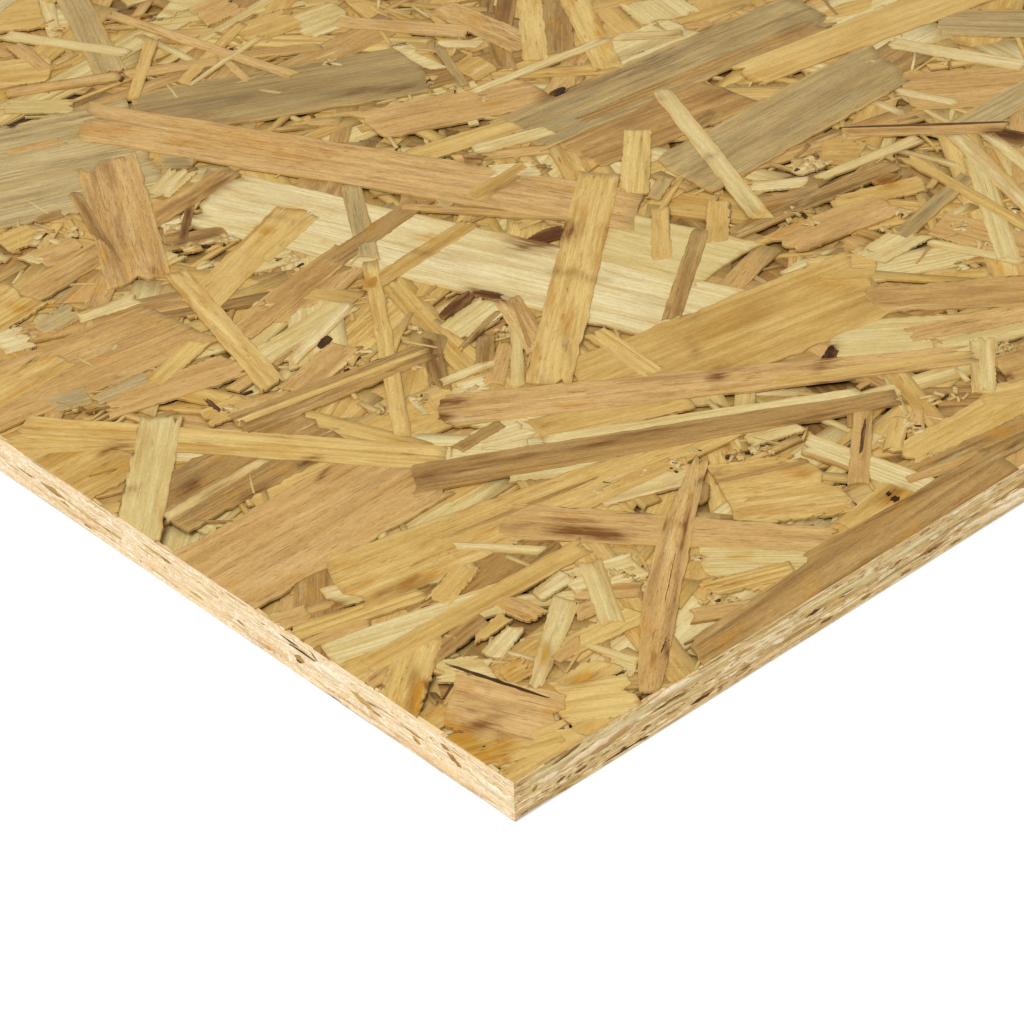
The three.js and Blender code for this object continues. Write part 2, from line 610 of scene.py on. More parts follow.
# The strands round the near corner, listed: x and y of heel and tip, width, wood, storey, and
# then tone, taper, ragged, bow and point, as far as they aren't the usual ones.
FAR_LEFT = from_rows(Seen, 2, (
    (-90, 195, 165, 140, 104, STAINED, 3, 1), (120, 118, 425, 66, 50, STAINED, 3.4, -0.35),
    (-40, 20, 48, 8, 34, PINE, 3), (-30, 76, 60, 66, 26, PINE, 3.5, 0.2),
    (10, 40, 52, 74, 15, BEECH, 3.8, 0.1), (66, -14, 112, 74, 30, STAINED, 4.2, 0.3, 0),
    (160, 4, 205, 12, 30, SAPWOOD, 3.5), (190, 20, 236, -2, 26, BEECH, 3.7, 0.2),
    (236, 36, 300, 14, 24, PINE, 3.3), (290, 30, 352, 8, 30, SAPWOOD, 3.4, -0.2),
    (0, 33, 134, 53, 9, SAPWOOD, 5, 0.2, 0), (132, 100, 153, 34, 13, PINE, 6, 0.4),
    (0, 93, 122, 74, 9, BEECH, 5.6, 0.3), (122, 74, 224, 59, 9, BEECH, 5.5, 0.2),
    (206, 58, 326, 45, 8, BEECH, 5.4, 0.1), (180, 84, 246, 18, 10, PINE, 5.2, 0.2, 0),
    (103, 11, 297, 76, 9, BEECH, 6.5, 0.7), (186, 87, 264, 33, 5, SAPWOOD, 7, 0.1, 0.3),
    (224, 58, 250, 82, 8, BEECH, 4.6, 0.4), (0, 106, 78, 105, 13, SAPWOOD, 5, -0.1, 0),
    (0, 154, 68, 138, 8, BEECH, 4.6, 0.2, 0.2), (30, 221, 70, 210, 9, BROWN, 4.4, -0.2, 0.2, 1, 0, 0.5),
    (-8, 247, 44, 226, 22, PINE, 4, -0.1), (39, 251, 60, 220, 9, PINE, 5, 0.5),
    (66, 217, 77, 238, 8, PINE, 5.2, 0.3), (18, 252, 52, 262, 10, SAPWOOD, 4.2, 0.9),
    (150, 160, 204, 158, 17, STAINED, 4.6, -0.3), (156, 196, 186, 166, 22, SAPWOOD, 4.2, -0.1),
    (158, 246, 232, 228, 15, BROWN, 4, 0.5), (158, 230, 186, 221, 12, SAPWOOD, 3.6, 0.9),
    (182, 242, 191, 202, 9, BROWN, 5, -0.6, 0), (236, 167, 16, 301, 24, BEECH, 5.2, -0.5, 0.3),
    (85, 240, 30, 262, 22, BEECH, 4.5, 0.2), (150, 268, 180, 250, 16, SAPWOOD, 4.4, 0.1),
    (240, 268, 300, 250, 18, SAPWOOD, 3.9, 0.2),
))
MIDDLE = from_rows(Seen, 2, (
    (196, 194, 740, 322, 66, SAPWOOD, 4.4, 0.75, 0, 2), (296, 206, 196, 308, 32, PINE, 6, 0.35),
    (318, 212, 262, 262, 9, RINGED, 5.8, 0.4), (352, 244, 232, 336, 26, BEECH, 5.2, 0, 0.2),
    (426, 196, 330, 262, 18, BROWN, 6.8, 0.4), (474, 220, 362, 290, 15, PINE, 6.4, -0.4),
    (104, 150, 141, 287, 64, BEECH, 7, 0.6, 0, 2), (73, 190, 120, 268, 14, BROWN, 6.6, 0.1, 0.2),
    (350, 182, 370, 262, 21, STAINED, 6.6, 0.7, 0), (369, 256, 403, 438, 17, RINGED, 6.2, 0.5, 0),
    (397, 205, 578, 218, 6, BEECH, 7.2, -0.2, 0), (430, 201, 458, 204, 10, STAINED, 7, 0.4),
    (172, 268, 277, 389, 24, RINGED, 8.2, 0.75), (520, 122, 405, 158, 17, RINGED, 6, 0.2),
    (556, 128, 470, 150, 12, SAPWOOD, 6.2, 0.3), (350, 128, 560, 84, 34, BEECH, 4.5, 0.5),
    (64, 117, 652, 213, 40, BEECH, 8.6, 0.75, 0, 3), (456, 160, 489, 163, 15, BEECH, 8.8, 0.2),
    (532, 162, 470, 200, 16, PINE, 9, -0.5), (480, 172, 545, 168, 16, SAPWOOD, 8.9, 0.5, 0.2, 2),
    (601, 166, 547, 388, 44, RINGED, 10.4, 0.45, 0, 1.5), (638, 126, 634, 196, 30, RINGED, 9.2, 0.7),
    (526, 242, 572, 226, 15, BROWN, 4, -0.6, 0.3, 1, 0, 0.6), (660, 204, 662, 262, 20, PINE, 7.2, 0.3),
    (592, 230, 744, 268, 58, SAPWOOD, 5.8, -0.1), (652, 200, 668, 174, 14, STAINED, 7.6, 0.3),
    (702, 226, 670, 322, 18, BROWN, 7.4, 0.6, 0), (720, 196, 716, 244, 24, PINE, 6.8, 0.1),
    (590, 328, 660, 376, 19, RINGED, 7.6, 0.6, 0),
))
FAR_RIGHT = from_rows(Seen, 2, (
    (436, 4, 530, 46, 24, BEECH, 5, 0.5, 0.2), (330, 20, 474, 31, 12, BEECH, 4.8, 0.7),
    (392, 60, 444, 50, 34, SAPWOOD, 3.2, 0.3), (434, 42, 486, 43, 8, SAPWOOD, 4.2, 0.9),
    (436, 44, 466, 86, 9, STAINED, 5, -0.3, 0), (458, 76, 492, 56, 28, PINE, 3.4, -0.4),
    (508, -10, 502, 28, 20, BROWN, 3.4, -0.6), (494, 26, 506, 70, 22, BROWN, 4),
    (528, -12, 536, 62, 25, RINGED, 5.4, 0.5, 0), (556, -10, 560, 56, 30, BROWN, 3.6, 0.3),
    (569, -12, 610, 70, 27, RINGED, 5.8, 0.6, 0), (640, -6, 676, 20, 46, SAPWOOD, 3.8, 0.1),
    (600, 60, 690, 22, 30, SAPWOOD, 3.2, 0.3), (468, 93, 612, 36, 9, SAPWOOD, 6.4, 0.5, 0.4),
    (610, 37, 690, 32, 8, SAPWOOD, 6.2, 0.4, 0), (548, 97, 568, 86, 8, BARK, 6.6, -0.6, 0.1, 1, 0, 0.6),
    (556, 150, 738, 80, 62, BEECH, 4.8, -0.8, 0), (508, 138, 816, 6, 46, STAINED, 5.6, 0, 0, 2),
    (560, 126, 828, 20, 16, BROWN, 5.9, 0.6, 0.2, 2), (692, 126, 722, 108, 14, BROWN, 4.9, -0.4),
    (674, 180, 908, 50, 56, STAINED, 5.3, 0.15, 0, 1.5), (736, 78, 1040, -36, 34, PINE, 6.2, 0.4, 0.2, 2),
    (884, 41, 1030, 66, 11, SAPWOOD, 6.8, 0.4, 0), (893, 89, 965, 104, 7, SAPWOOD, 6.6, 0.5, 0),
    (930, 20, 1060, 24, 28, STAINED, 4.8, 0.2), (898, 92, 1060, 80, 40, BEECH, 3.8, 0.2),
    (1060, 70, 960, 130, 26, STAINED, 4.2, 0.4), (838, 130, 1014, 126, 11, BEECH, 6, -0.1),
    (836, 127, 1012, 121, 3, BARK, 6.3, 0.8, 0.3, 1, 0, 0.6), (984, 132, 1040, 142, 16, BROWN, 5.2, -0.5),
    (812, 150, 870, 152, 26, PINE, 4.4, -0.4), (786, 172, 822, 158, 15, SAPWOOD, 4.2, 0.6),
    (742, 186, 816, 180, 10, SAPWOOD, 6, 0.4), (814, 179, 924, 135, 10, SAPWOOD, 6.2, 0.1, 0.3),
    (728, 235, 900, 160, 15, BROWN, 5.2, 0.4, 0.2, 1.5), (744, 210, 830, 190, 18, BROWN, 4.4, 0.6),
    (872, 184, 900, 170, 13, BROWN, 5, -0.2, 0.1, 1, 0, 0.5), (830, 204, 930, 180, 16, PINE, 4.8, 0.2),
    (770, 248, 896, 198, 30, BEECH, 5, 0.25), (896, 238, 972, 172, 15, STAINED, 5.4, -0.2, 0),
    (860, 262, 920, 228, 26, SAPWOOD, 5, 0.2), (952, 130, 1040, 216, 16, SAPWOOD, 6.4, 0.3, 0),
    (980, 126, 1050, 184, 12, SAPWOOD, 6, 0.5, 0), (974, 152, 1010, 262, 23, SAPWOOD, 5.6, 0, 0),
    (658, 86, 765, 221, 19, SAPWOOD, 8.8, 0.3), (902, 153, 1034, 230, 10, RINGED, 7.4, -0.1, 0),
    (930, 220, 1040, 250, 30, BEECH, 4, 0.3), (925, 240, 1030, 262, 8, SAPWOOD, 5.2, 0.4),
))
LEFT = from_rows(Seen, 2, (
    (-60, 420, 204, 312, 62, BEECH, 4.2, 0.15, 0, 2), (-30, 408, 80, 346, 27, PINE, 5.2, 0.5, 0, 3),
    (-60, 345, 30, 290, 40, RINGED, 6, 0.4, 0), (-6, 344, 34, 332, 26, SAPWOOD, 4.6, 0.9, 0, 2),
    (34, 332, 80, 306, 22, STAINED, 4.8, 0.5), (74, 319, 142, 296, 12, SAPWOOD, 5.2, 0.4, 0.2),
    (90, 402, 158, 372, 14, STAINED, 4.6, 0.3, 0.3), (148, 386, 204, 336, 19, RINGED, 5, 0.1),
    (92, 412, 250, 358, 28, BEECH, 4.8, 0.4, 0.2, 2), (42, 406, 96, 392, 18, STAINED, 5, 0.7),
    (-60, 450, 250, 436, 16, PINE, 5), (246, 366, 350, 300, 22, SAPWOOD, 3.8),
    (288, 364, 352, 300, 13, SAPWOOD, 4.6, 0.4), (290, 394, 352, 340, 27, BEECH, 4.6, 0.45, 0),
    (200, 420, 256, 396, 20, PINE, 4.4, 0.1), (214, 412, 300, 392, 12, BEECH, 4.8, 0.5),
    (438, 346, 226, 430, 26, BROWN, 7, 0.5, 0.3), (436, 346, 232, 424, 7, RINGED, 7.4, 0.2, 0.4),
    (-20, 520, 130, 436, 70, PINE, 4.4, -0.2, 0), (140, 520, 330, 420, 60, BROWN, 4, 0.5, 0),
    (120, 632, 420, 462, 88, BEECH, 5, 0.3, 0, 1.5), (268, 456, 160, 520, 9, SAPWOOD, 5.8, 0.2, 0.2),
    (8, 426, 452, 458, 25, RINGED, 7, 0.65, 0), (164, 406, 133, 552, 46, SAPWOOD, 8, -0.15, 0.1, 2.5),
))
CENTRE = from_rows(Seen, 2, (
    (428, 332, 442, 392, 20, BROWN, 4.6, -0.1, 0, 1.5), (448, 334, 502, 298, 28, SAPWOOD, 4.6, 0.3),
    (438, 319, 476, 288, 12, BROWN, 5.4, -0.4, 0.2, 1, 0, 0.5),
    (470, 290, 506, 297, 8, BROWN, 5.2, -0.3, 0.1, 1, 0, 0.6),
    (457, 351, 500, 308, 6, BROWN, 5.8, 0.3, 0.2), (486, 332, 484, 376, 20, BROWN, 4.8, 0.3),
    (508, 338, 492, 386, 22, BEECH, 5, 0, 0.4), (516, 326, 518, 388, 15, SAPWOOD, 5.2, 0.1, 0.3),
    (504, 294, 542, 352, 26, BEECH, 5.4, 0.35, 0), (512, 296, 532, 350, 6, BROWN, 5.6, 0, 0.3),
    (436, 384, 500, 358, 9, SAPWOOD, 5.6, 0.1), (455, 390, 498, 378, 16, SAPWOOD, 3.8, 0.8),
    (408, 405, 428, 402, 22, SAPWOOD, 4, 1), (570, 400, 890, 272, 78, PINE, 4.8, -0.1, 0, 1.5),
    (800, 272, 886, 268, 34, PINE, 4.7, 0.3), (526, 434, 690, 392, 30, PINE, 5, -0.1),
    (540, 442, 872, 396, 22, SAPWOOD, 6.2, 0.3, 0.4), (986, 352, 428, 412, 32, BEECH, 7.6, 0.55, 0.45, 3),
    (980, 352, 760, 382, 12, PINE, 7.9, 0.2, 0.4), (452, 451, 506, 420, 10, BROWN, 7.2, -0.2, 0),
    (790, 404, 330, 590, 62, PINE, 6, 0.1, 0.8, 1.5),
    (604, 474, 440, 538, 7, BROWN, 6.4, 0.1, 0.5, 1, 0, 0.5),
    (905, 395, 403, 480, 28, BROWN, 8, 0.35, 0.45, 0.8), (440, 400, 560, 420, 40, SAPWOOD, 3.6),
    (470, 440, 536, 424, 22, SAPWOOD, 4.4, 0.3), (845, 540, 498, 519, 36, BEECH, 6.6, 0.5, 0.35),
    (445, 545, 550, 550, 9, SAPWOOD, 6.4, 0.5),
    (704, 452, 650, 698, 40, BEECH, 8.6, 0.45, 0.3, 1.5, -2, 0.55),
    (677, 546, 664, 606, 1.4, BARK, 8.9, 0.6, 0.5, 1, 0, 0.9),
    (668, 634, 660, 656, 1.6, BARK, 8.9, 0.2, 0.5, 1, 0, 0.9),
    (707, 480, 702, 506, 9, BROWN, 8, -0.6, 0.3, 1, 0, 0.4),
    (318, 348, 331, 334, 9, BARK, 6.4, -0.9, 0.2, 1, 0, 0.5),
    (203, 396, 222, 412, 5, BARK, 6, 0.2, 0.2, 1, 0, 0.5),
    (430, 690, 440, 704, 10, STAINED, 6.6, -0.9, 0.2, 1, 0, 0.4),
    (866, 414, 860, 456, 5, BARK, 7.4, 0.9, 0.2, 1, 0, 0.6), (588, 556, 614, 626, 24, SAPWOOD, 7.8, 0.1, 0),
    (592, 540, 362, 668, 19, PINE, 6.8, -0.15, 0), (500, 470, 640, 460, 24, SAPWOOD, 4, 0.1),
    (590, 500, 700, 470, 20, SAPWOOD, 4.6, 0.2),
))
RIGHT = from_rows(Seen, 2, (
    (858, 300, 1050, 288, 32, BEECH, 5.6, 0.1, 0.3, 2), (900, 336, 1040, 308, 20, BEECH, 5.2, 0.3, 0.3),
    (820, 338, 1000, 330, 40, SAPWOOD, 4.2, -0.3), (930, 348, 1050, 322, 15, SAPWOOD, 5, 0.1),
    (982, 334, 984, 394, 25, SAPWOOD, 6.4, -0.1, 0), (992, 372, 1060, 350, 32, BEECH, 5.8, -0.3, 0),
    (838, 342, 822, 370, 14, BARK, 4.4, 0.3), (838, 360, 888, 352, 18, SAPWOOD, 3, 0.5),
    (706, 498, 858, 476, 66, PINE, 5.4, 0.45, 0, 2), (712, 482, 812, 458, 8, BROWN, 5.8, 0.5, 0.5),
    (740, 500, 850, 486, 6, PINE, 5.9, -0.5, 0.5), (740, 440, 800, 420, 20, SAPWOOD, 4.4, 0.2),
    (798, 440, 946, 492, 21, SAPWOOD, 6.2, 0.55, 0), (864, 404, 858, 488, 22, BEECH, 7, 0.1, 0.1, 1.5),
    (870, 408, 862, 450, 7, BROWN, 7.2, -0.2, 0.2), (901, 414, 892, 452, 19, PINE, 5.8, 0.5, 0),
    (916, 404, 920, 440, 14, BEECH, 5, 0.4), (900, 460, 1040, 384, 34, RINGED, 4.8, 0.1),
    (904, 478, 1040, 420, 24, BROWN, 5.4, 0.5, 0.2), (904, 481, 986, 451, 9, BEECH, 6.6, -0.1),
    (846, 534, 912, 482, 36, RINGED, 5.6, -0.2), (970, 398, 1050, 384, 22, PINE, 5.2, 0.3),
    (690, 664, 1010, 456, 46, BROWN, 6.6, 0.45, 0.1, 1.5), (800, 560, 1060, 420, 12, BROWN, 6.9, 0, 0.3),
    (690, 560, 830, 560, 34, SAPWOOD, 4.2, -0.1), (700, 590, 800, 566, 18, RINGED, 5.2, 0.2),
    (684, 616, 760, 604, 15, BEECH, 5.6, 0.2),
))
NEAR = from_rows(Seen, 2, (
    (886, 496, 892, 490, 5, BARK, 8, -0.6, 0.2, 1, 0, 0.6),
    (891, 502, 899, 495, 7, BARK, 8, -0.6, 0.2, 1, 0, 0.6),
    (614, 676, 627, 669, 2.5, BARK, 7, 0.2, 0.2, 1, 0, 0.7), (272, 624, 318, 608, 18, BEECH, 5.8, 0.3),
    (286, 634, 430, 590, 16, RINGED, 5.6, 0.7, 0), (300, 646, 372, 618, 12, BEECH, 5.7, 0.3),
    (318, 600, 480, 556, 28, SAPWOOD, 5.2, 0.1, 0.2), (320, 656, 520, 590, 30, SAPWOOD, 5, 0.3),
    (330, 680, 450, 628, 30, PINE, 4.8, 0.3, 0), (472, 560, 434, 606, 23, PINE, 6, 0.2, 0),
    (426, 661, 486, 613, 19, BROWN, 5.8, 0.4), (360, 686, 400, 656, 20, BEECH, 5, 0.1),
    (424, 630, 392, 722, 44, RINGED, 6.2, 0.2, 0, 1.5), (422, 690, 562, 724, 62, BEECH, 6.3, 1, 0.1, 1.5),
    (430, 760, 560, 722, 40, RINGED, 5.8, -0.2), (426, 672, 500, 664, 26, SAPWOOD, 5.4, 0.1, 0.2),
    (442, 662, 553, 699, 3.4, BARK, 8.4, -0.9, 0.1, 1, 0, 0.6),
    (470, 762, 590, 722, 26, PINE, 6.1, 0.4, 0.1, 2), (500, 790, 640, 700, 30, PINE, 5.4, 0, 0),
    (498, 598, 546, 618, 21, BEECH, 6.2, 0.2, 0.2, 0.5, 0, 0.4),
    (532, 598, 572, 571, 17, SAPWOOD, 5.8, 0.5, 0.2), (534, 690, 568, 594, 29, SAPWOOD, 6, 0.2, 0.6),
    (520, 622, 488, 658, 20, SAPWOOD, 5.6, 0.4, 0.3), (476, 638, 510, 612, 13, RINGED, 5.4, 0.3, 0.2),
    (462, 640, 494, 620, 18, BEECH, 5, 0.4), (448, 668, 500, 664, 16, SAPWOOD, 5.2, 0.2, 0.4),
    (498, 680, 534, 660, 22, RINGED, 4.8, 0.3), (546, 664, 588, 636, 15, BEECH, 6.2, -0.1, 0.3),
    (542, 704, 650, 692, 44, RINGED, 5.9, 0.75, 0, 1.5), (552, 694, 618, 656, 28, RINGED, 6, 0.5, 0.3),
    (600, 660, 646, 668, 22, SAPWOOD, 4.8), (578, 641, 644, 664, 11, SAPWOOD, 6.6, 0.6, 0.6),
    (560, 650, 646, 608, 24, RINGED, 5.4, 0.4, 0.2), (562, 618, 606, 600, 17, BEECH, 5),
    (570, 592, 648, 588, 15, BEECH, 4.6, 0.3), (556, 586, 646, 562, 30, SAPWOOD, 4.4, 0.3),
    (560, 718, 620, 708, 22, PINE, 5, 0.2),
))
# Their stains: x and y of heel and tip, width, depth, and whether it is resin.
STAINS = from_rows(Stain, 2, (
    (520, 248, 574, 224, 20, 1.6), (506, 250, 540, 238, 12, 0.7), (436, 318, 478, 288, 13, 1.2),
    (470, 288, 510, 300, 10, 1.2), (430, 330, 436, 372, 12, 0.9), (486, 340, 484, 366, 10, 0.5),
    (466, 352, 480, 330, 5, 0.9), (694, 480, 662, 660, 4), (820, 372, 836, 340, 12, 1),
    (984, 130, 1030, 138, 12, 1.2), (180, 244, 192, 200, 9), (204, 196, 232, 172, 8, 0.6),
    (462, 162, 488, 156, 12, 0.9), (538, 100, 574, 82, 12), (600, 66, 700, 24, 6, 0.5),
    (780, 36, 812, 22, 8, 0.5), (620, 128, 640, 120, 7, 0.5), (100, 456, 128, 440, 8, 1.2),
    (112, 450, 122, 444, 5, 1), (172, 500, 200, 478, 9, 1.1), (196, 498, 236, 474, 6, 0.6),
    (236, 502, 272, 484, 8), (296, 466, 320, 456, 8, 0.9), (318, 480, 332, 458, 5),
    (120, 494, 140, 484, 6, 0.5), (322, 602, 346, 604, 10), (372, 596, 430, 580, 8, 0.7),
    (398, 583, 406, 580, 6), (414, 668, 412, 722, 9, 0.9), (424, 680, 440, 700, 9, 1.3),
    (452, 734, 504, 716, 13, 0.9), (470, 724, 492, 716, 7, 0.7), (436, 716, 520, 704, 8, 0.35),
    (500, 730, 508, 772, 9, 0.6), (440, 760, 470, 770, 12, 0.4), (560, 686, 600, 674, 11, 0.6),
    (546, 640, 552, 672, 9, 0.6), (552, 527, 626, 537, 10, 1.4), (548, 518, 600, 522, 6, 0.7),
    (664, 640, 676, 676, 6, 0.9), (692, 690, 716, 700, 8, 0.7), (884, 503, 902, 488, 10, 1.5),
    (878, 505, 908, 484, 18, 0.5), (690, 486, 724, 470, 7, 0.6), (440, 466, 500, 452, 8, 0.5),
    (600, 440, 700, 424, 7, 0.5), (412, 476, 440, 470, 8, 0.7), (426, 408, 470, 400, 10, 0.5),
    (700, 372, 760, 366, 6, 0.4), (690, 340, 700, 352, 5, 0.9), (104, 160, 118, 270, 12, 0.35),
    (78, 196, 112, 262, 7, 0.5), (148, 262, 160, 284, 7, 0.7), (320, 128, 420, 152, 7, 0.3),
    (190, 112, 260, 126, 8, 0.3), (80, 112, 130, 128, 10, 0.35), (486, 196, 530, 172, 9, 0.5),
    (546, 268, 600, 280, 7, 0.6), (640, 300, 700, 318, 6, 0.5), (392, 246, 470, 262, 6, 0.4),
    (214, 200, 300, 222, 7, 0.25), (560, 330, 572, 362, 6, 0.5), (536, 372, 548, 388, 6, 0.6),
    (640, 130, 650, 196, 5, 0.3), (740, 196, 760, 216, 6, 0.5), (700, 100, 742, 86, 9, 0.6),
    (560, 96, 700, 44, 7, 0.5), (640, 110, 668, 92, 7, 0.4), (340, 92, 424, 86, 5, 0.9),
    (300, 96, 350, 92, 4, 0.5), (230, 100, 270, 96, 4, 0.5), (866, 300, 900, 296, 9, 0.4),
    (800, 250, 870, 216, 8, 0.4), (690, 168, 720, 150, 6, 0.5), (544, 532, 616, 534, 6, 1),
    (508, 527, 524, 526, 5), (668, 518, 664, 530, 5, 1), (685, 516, 680, 530, 4, 1),
    (656, 650, 652, 668, 5), (424, 542, 436, 538, 5), (400, 584, 420, 580, 6, 1.2),
    (456, 470, 484, 464, 5, 0.6), (575, 448, 620, 440, 5, 0.7), (780, 424, 840, 412, 4, 0.7),
    (712, 376, 728, 374, 9, 1.4), (1004, 377, 1014, 376, 6, 1.2), (1014, 446, 1024, 440, 6, 1.6),
    (882, 183, 892, 179, 10, 1.4), (408, 480, 450, 470, 18, 0.6), (424, 404, 470, 400, 7, 1.3),
    (424, 419, 450, 416, 8, 1.5), (470, 466, 540, 454, 4), (544, 664, 545, 642, 9, 0.9, True),
    (572, 681, 594, 673, 9, 1, True), (458, 689, 474, 686, 7, 0.8, True),
    (417, 678, 417, 716, 11, 1.4, True), (728, 556, 756, 553, 5, 0.9, True),
    (398, 584, 424, 580, 8, 0.8, True), (410, 702, 504, 768, 24, 1, True),
    (488, 752, 516, 738, 22, 0.8, True), (505, 770, 512, 740, 10, 0.6, True),
    (540, 712, 580, 706, 9, 0.6, True), (876, 187, 902, 174, 16, 0.8, True),
    (880, 506, 910, 488, 16, 0.6, True), (262, 234, 272, 226, 12, 0.9, True),
    (288, 206, 306, 210, 9, 0.6, True), (34, 366, 56, 354, 9, 0.7, True),
    (365, 285, 380, 281, 13, 0.8, True), (424, 240, 434, 233, 12, 0.8, True),
    (60, 128, 140, 132, 12, 0.6, True), (180, 128, 330, 158, 18, 0.5, True),
    (600, 250, 612, 210, 8, 0.5, True), (780, 470, 812, 474, 9, 0.7, True),
    (690, 344, 760, 300, 20, 0.4, True), (796, 276, 860, 290, 16, 0.5, True),
    (738, 224, 786, 200, 8, 0.8, True), (770, 236, 800, 222, 6, 0.8, True),
    (596, 12, 604, 60, 10, 0.6, True), (740, 84, 800, 60, 12, 0.4, True), (0, 300, 34, 312, 10, 0.5, True),
    (20, 424, 140, 432, 10, 0.4, True), (250, 446, 300, 450, 8, 0.4, True),
    (300, 620, 400, 596, 9, 0.4, True), (560, 300, 568, 340, 12, 0.4, True),
))

# The hollows between them: x and y, reach, storey.
NESTS = from_rows(Nest, 1, (
    (45, 240, 14, 5.4), (72, 232, 10, 5.6), (200, 246, 12, 5), (209, 262, 10, 5), (176, 228, 9, 4.8),
    (226, 240, 9, 4.6), (286, 258, 7, 5), (262, 304, 8, 5.6), (300, 268, 8, 4.4), (362, 356, 12, 4.8),
    (346, 374, 8, 4.8), (226, 408, 8, 5.6), (386, 410, 6, 5.6), (414, 330, 7, 4.8), (412, 366, 8, 4.8),
    (420, 398, 8, 4.8), (472, 392, 9, 4.2), (502, 330, 8, 4.2), (20, 336, 10, 4.6), (154, 369, 7, 5),
    (438, 556, 8, 6.2), (452, 552, 6, 6.2), (511, 540, 6, 6), (599, 490, 5), (612, 482, 8, 6.2),
    (637, 472, 7, 6.2), (674, 462, 10), (696, 449, 5, 6.6), (733, 457, 8, 6.2), (748, 448, 7, 6.2),
    (766, 450, 6, 6.2), (696, 557, 6, 6), (612, 572, 7, 5.8), (630, 571, 8, 5.8), (572, 575, 4, 6),
    (505, 607, 5, 6), (452, 636, 5, 6), (712, 600, 9, 5.8), (732, 598, 5, 5.8), (622, 671, 6, 5.8),
    (664, 640, 4, 8.9), (614, 717, 5, 6), (800, 166, 12, 5.6), (822, 162, 8, 5.6), (790, 210, 9, 5.4),
    (806, 222, 9, 5.6), (862, 252, 12, 5.6), (905, 212, 8, 5.6), (887, 230, 7, 5.4), (958, 226, 9, 5.2),
    (983, 243, 9, 5.6), (1012, 208, 7, 5.6), (964, 264, 9, 5.2), (850, 360, 9, 5.4), (874, 360, 9, 5.4),
    (936, 338, 7, 6), (936, 396, 9, 6), (956, 394, 9, 6), (911, 428, 9, 5.8), (888, 440, 7, 5.8),
    (1006, 346, 6, 6), (849, 502, 6, 5.8), (932, 453, 4, 6), (330, 62, 7, 5), (458, 88, 8, 5.4),
    (428, 78, 7, 5.4), (58, 30, 8, 5.2), (232, 48, 7, 5.4), (486, 96, 6, 5), (640, 150, 6, 5.8),
    (946, 60, 7, 5.4), (870, 60, 6, 5.4),
))
# Sections on the two near sides, listed; storey 0 leaves a dark joint round them.
NEAR_END = from_rows(Seen, 2, (
    (40, 482, 66, 500, 5, BROWN, 0, 0.6), (84, 524, 92, 530, 4, BROWN, 0, 0.2),
    (150, 566, 250, 634, 5, END, 0, 0.4), (160, 556, 172, 564, 4, BROWN, 1, 0.5),
    (256, 622, 290, 644, 8, END, 1, 0.8), (258, 640, 276, 652, 6, PINE, 0, -0.3),
    (294, 656, 305, 663, 6, BROWN, 0), (296, 660, 302, 664, 3, BARK, 0), (310, 652, 318, 662, 3, BROWN, 0),
    (314, 662, 346, 684, 10, END, 1, 0.9), (350, 690, 376, 714, 7, PINE, 0, -0.2),
    (372, 712, 382, 718, 3, BROWN, 0, -0.4), (340, 712, 372, 736, 8, END, 1, -0.6),
    (412, 736, 421, 745, 5, PINE, 0, -0.8), (413, 738, 418, 742, 2.5, BARK, 0, 0.4),
    (440, 744, 450, 752, 4, BROWN, 0), (446, 752, 462, 768, 6, BROWN, 1, 0.3),
    (430, 766, 444, 778, 6, BROWN, 1, 0.5), (380, 690, 440, 734, 7, END, 0, 1),
    (470, 770, 508, 800, 10, END, 1, 0.5), (484, 764, 506, 786, 6, END, 0),
    (30, 482, 132, 552, 7, END, 1, -0.9), (126, 548, 226, 616, 7, END, 1, -0.7),
    (216, 610, 316, 678, 8, END, 1, -0.9), (306, 672, 404, 738, 8, END, 1, -0.8),
    (396, 736, 496, 804, 9, END, 1, -0.9), (60, 500, 70, 507, 3, BROWN, 1, 0.6),
    (110, 532, 122, 540, 3, PINE, 0, -0.2), (190, 590, 204, 600, 4, PINE, 0, -0.4),
    (236, 620, 246, 628, 3, BROWN, 0, 0.4),
))
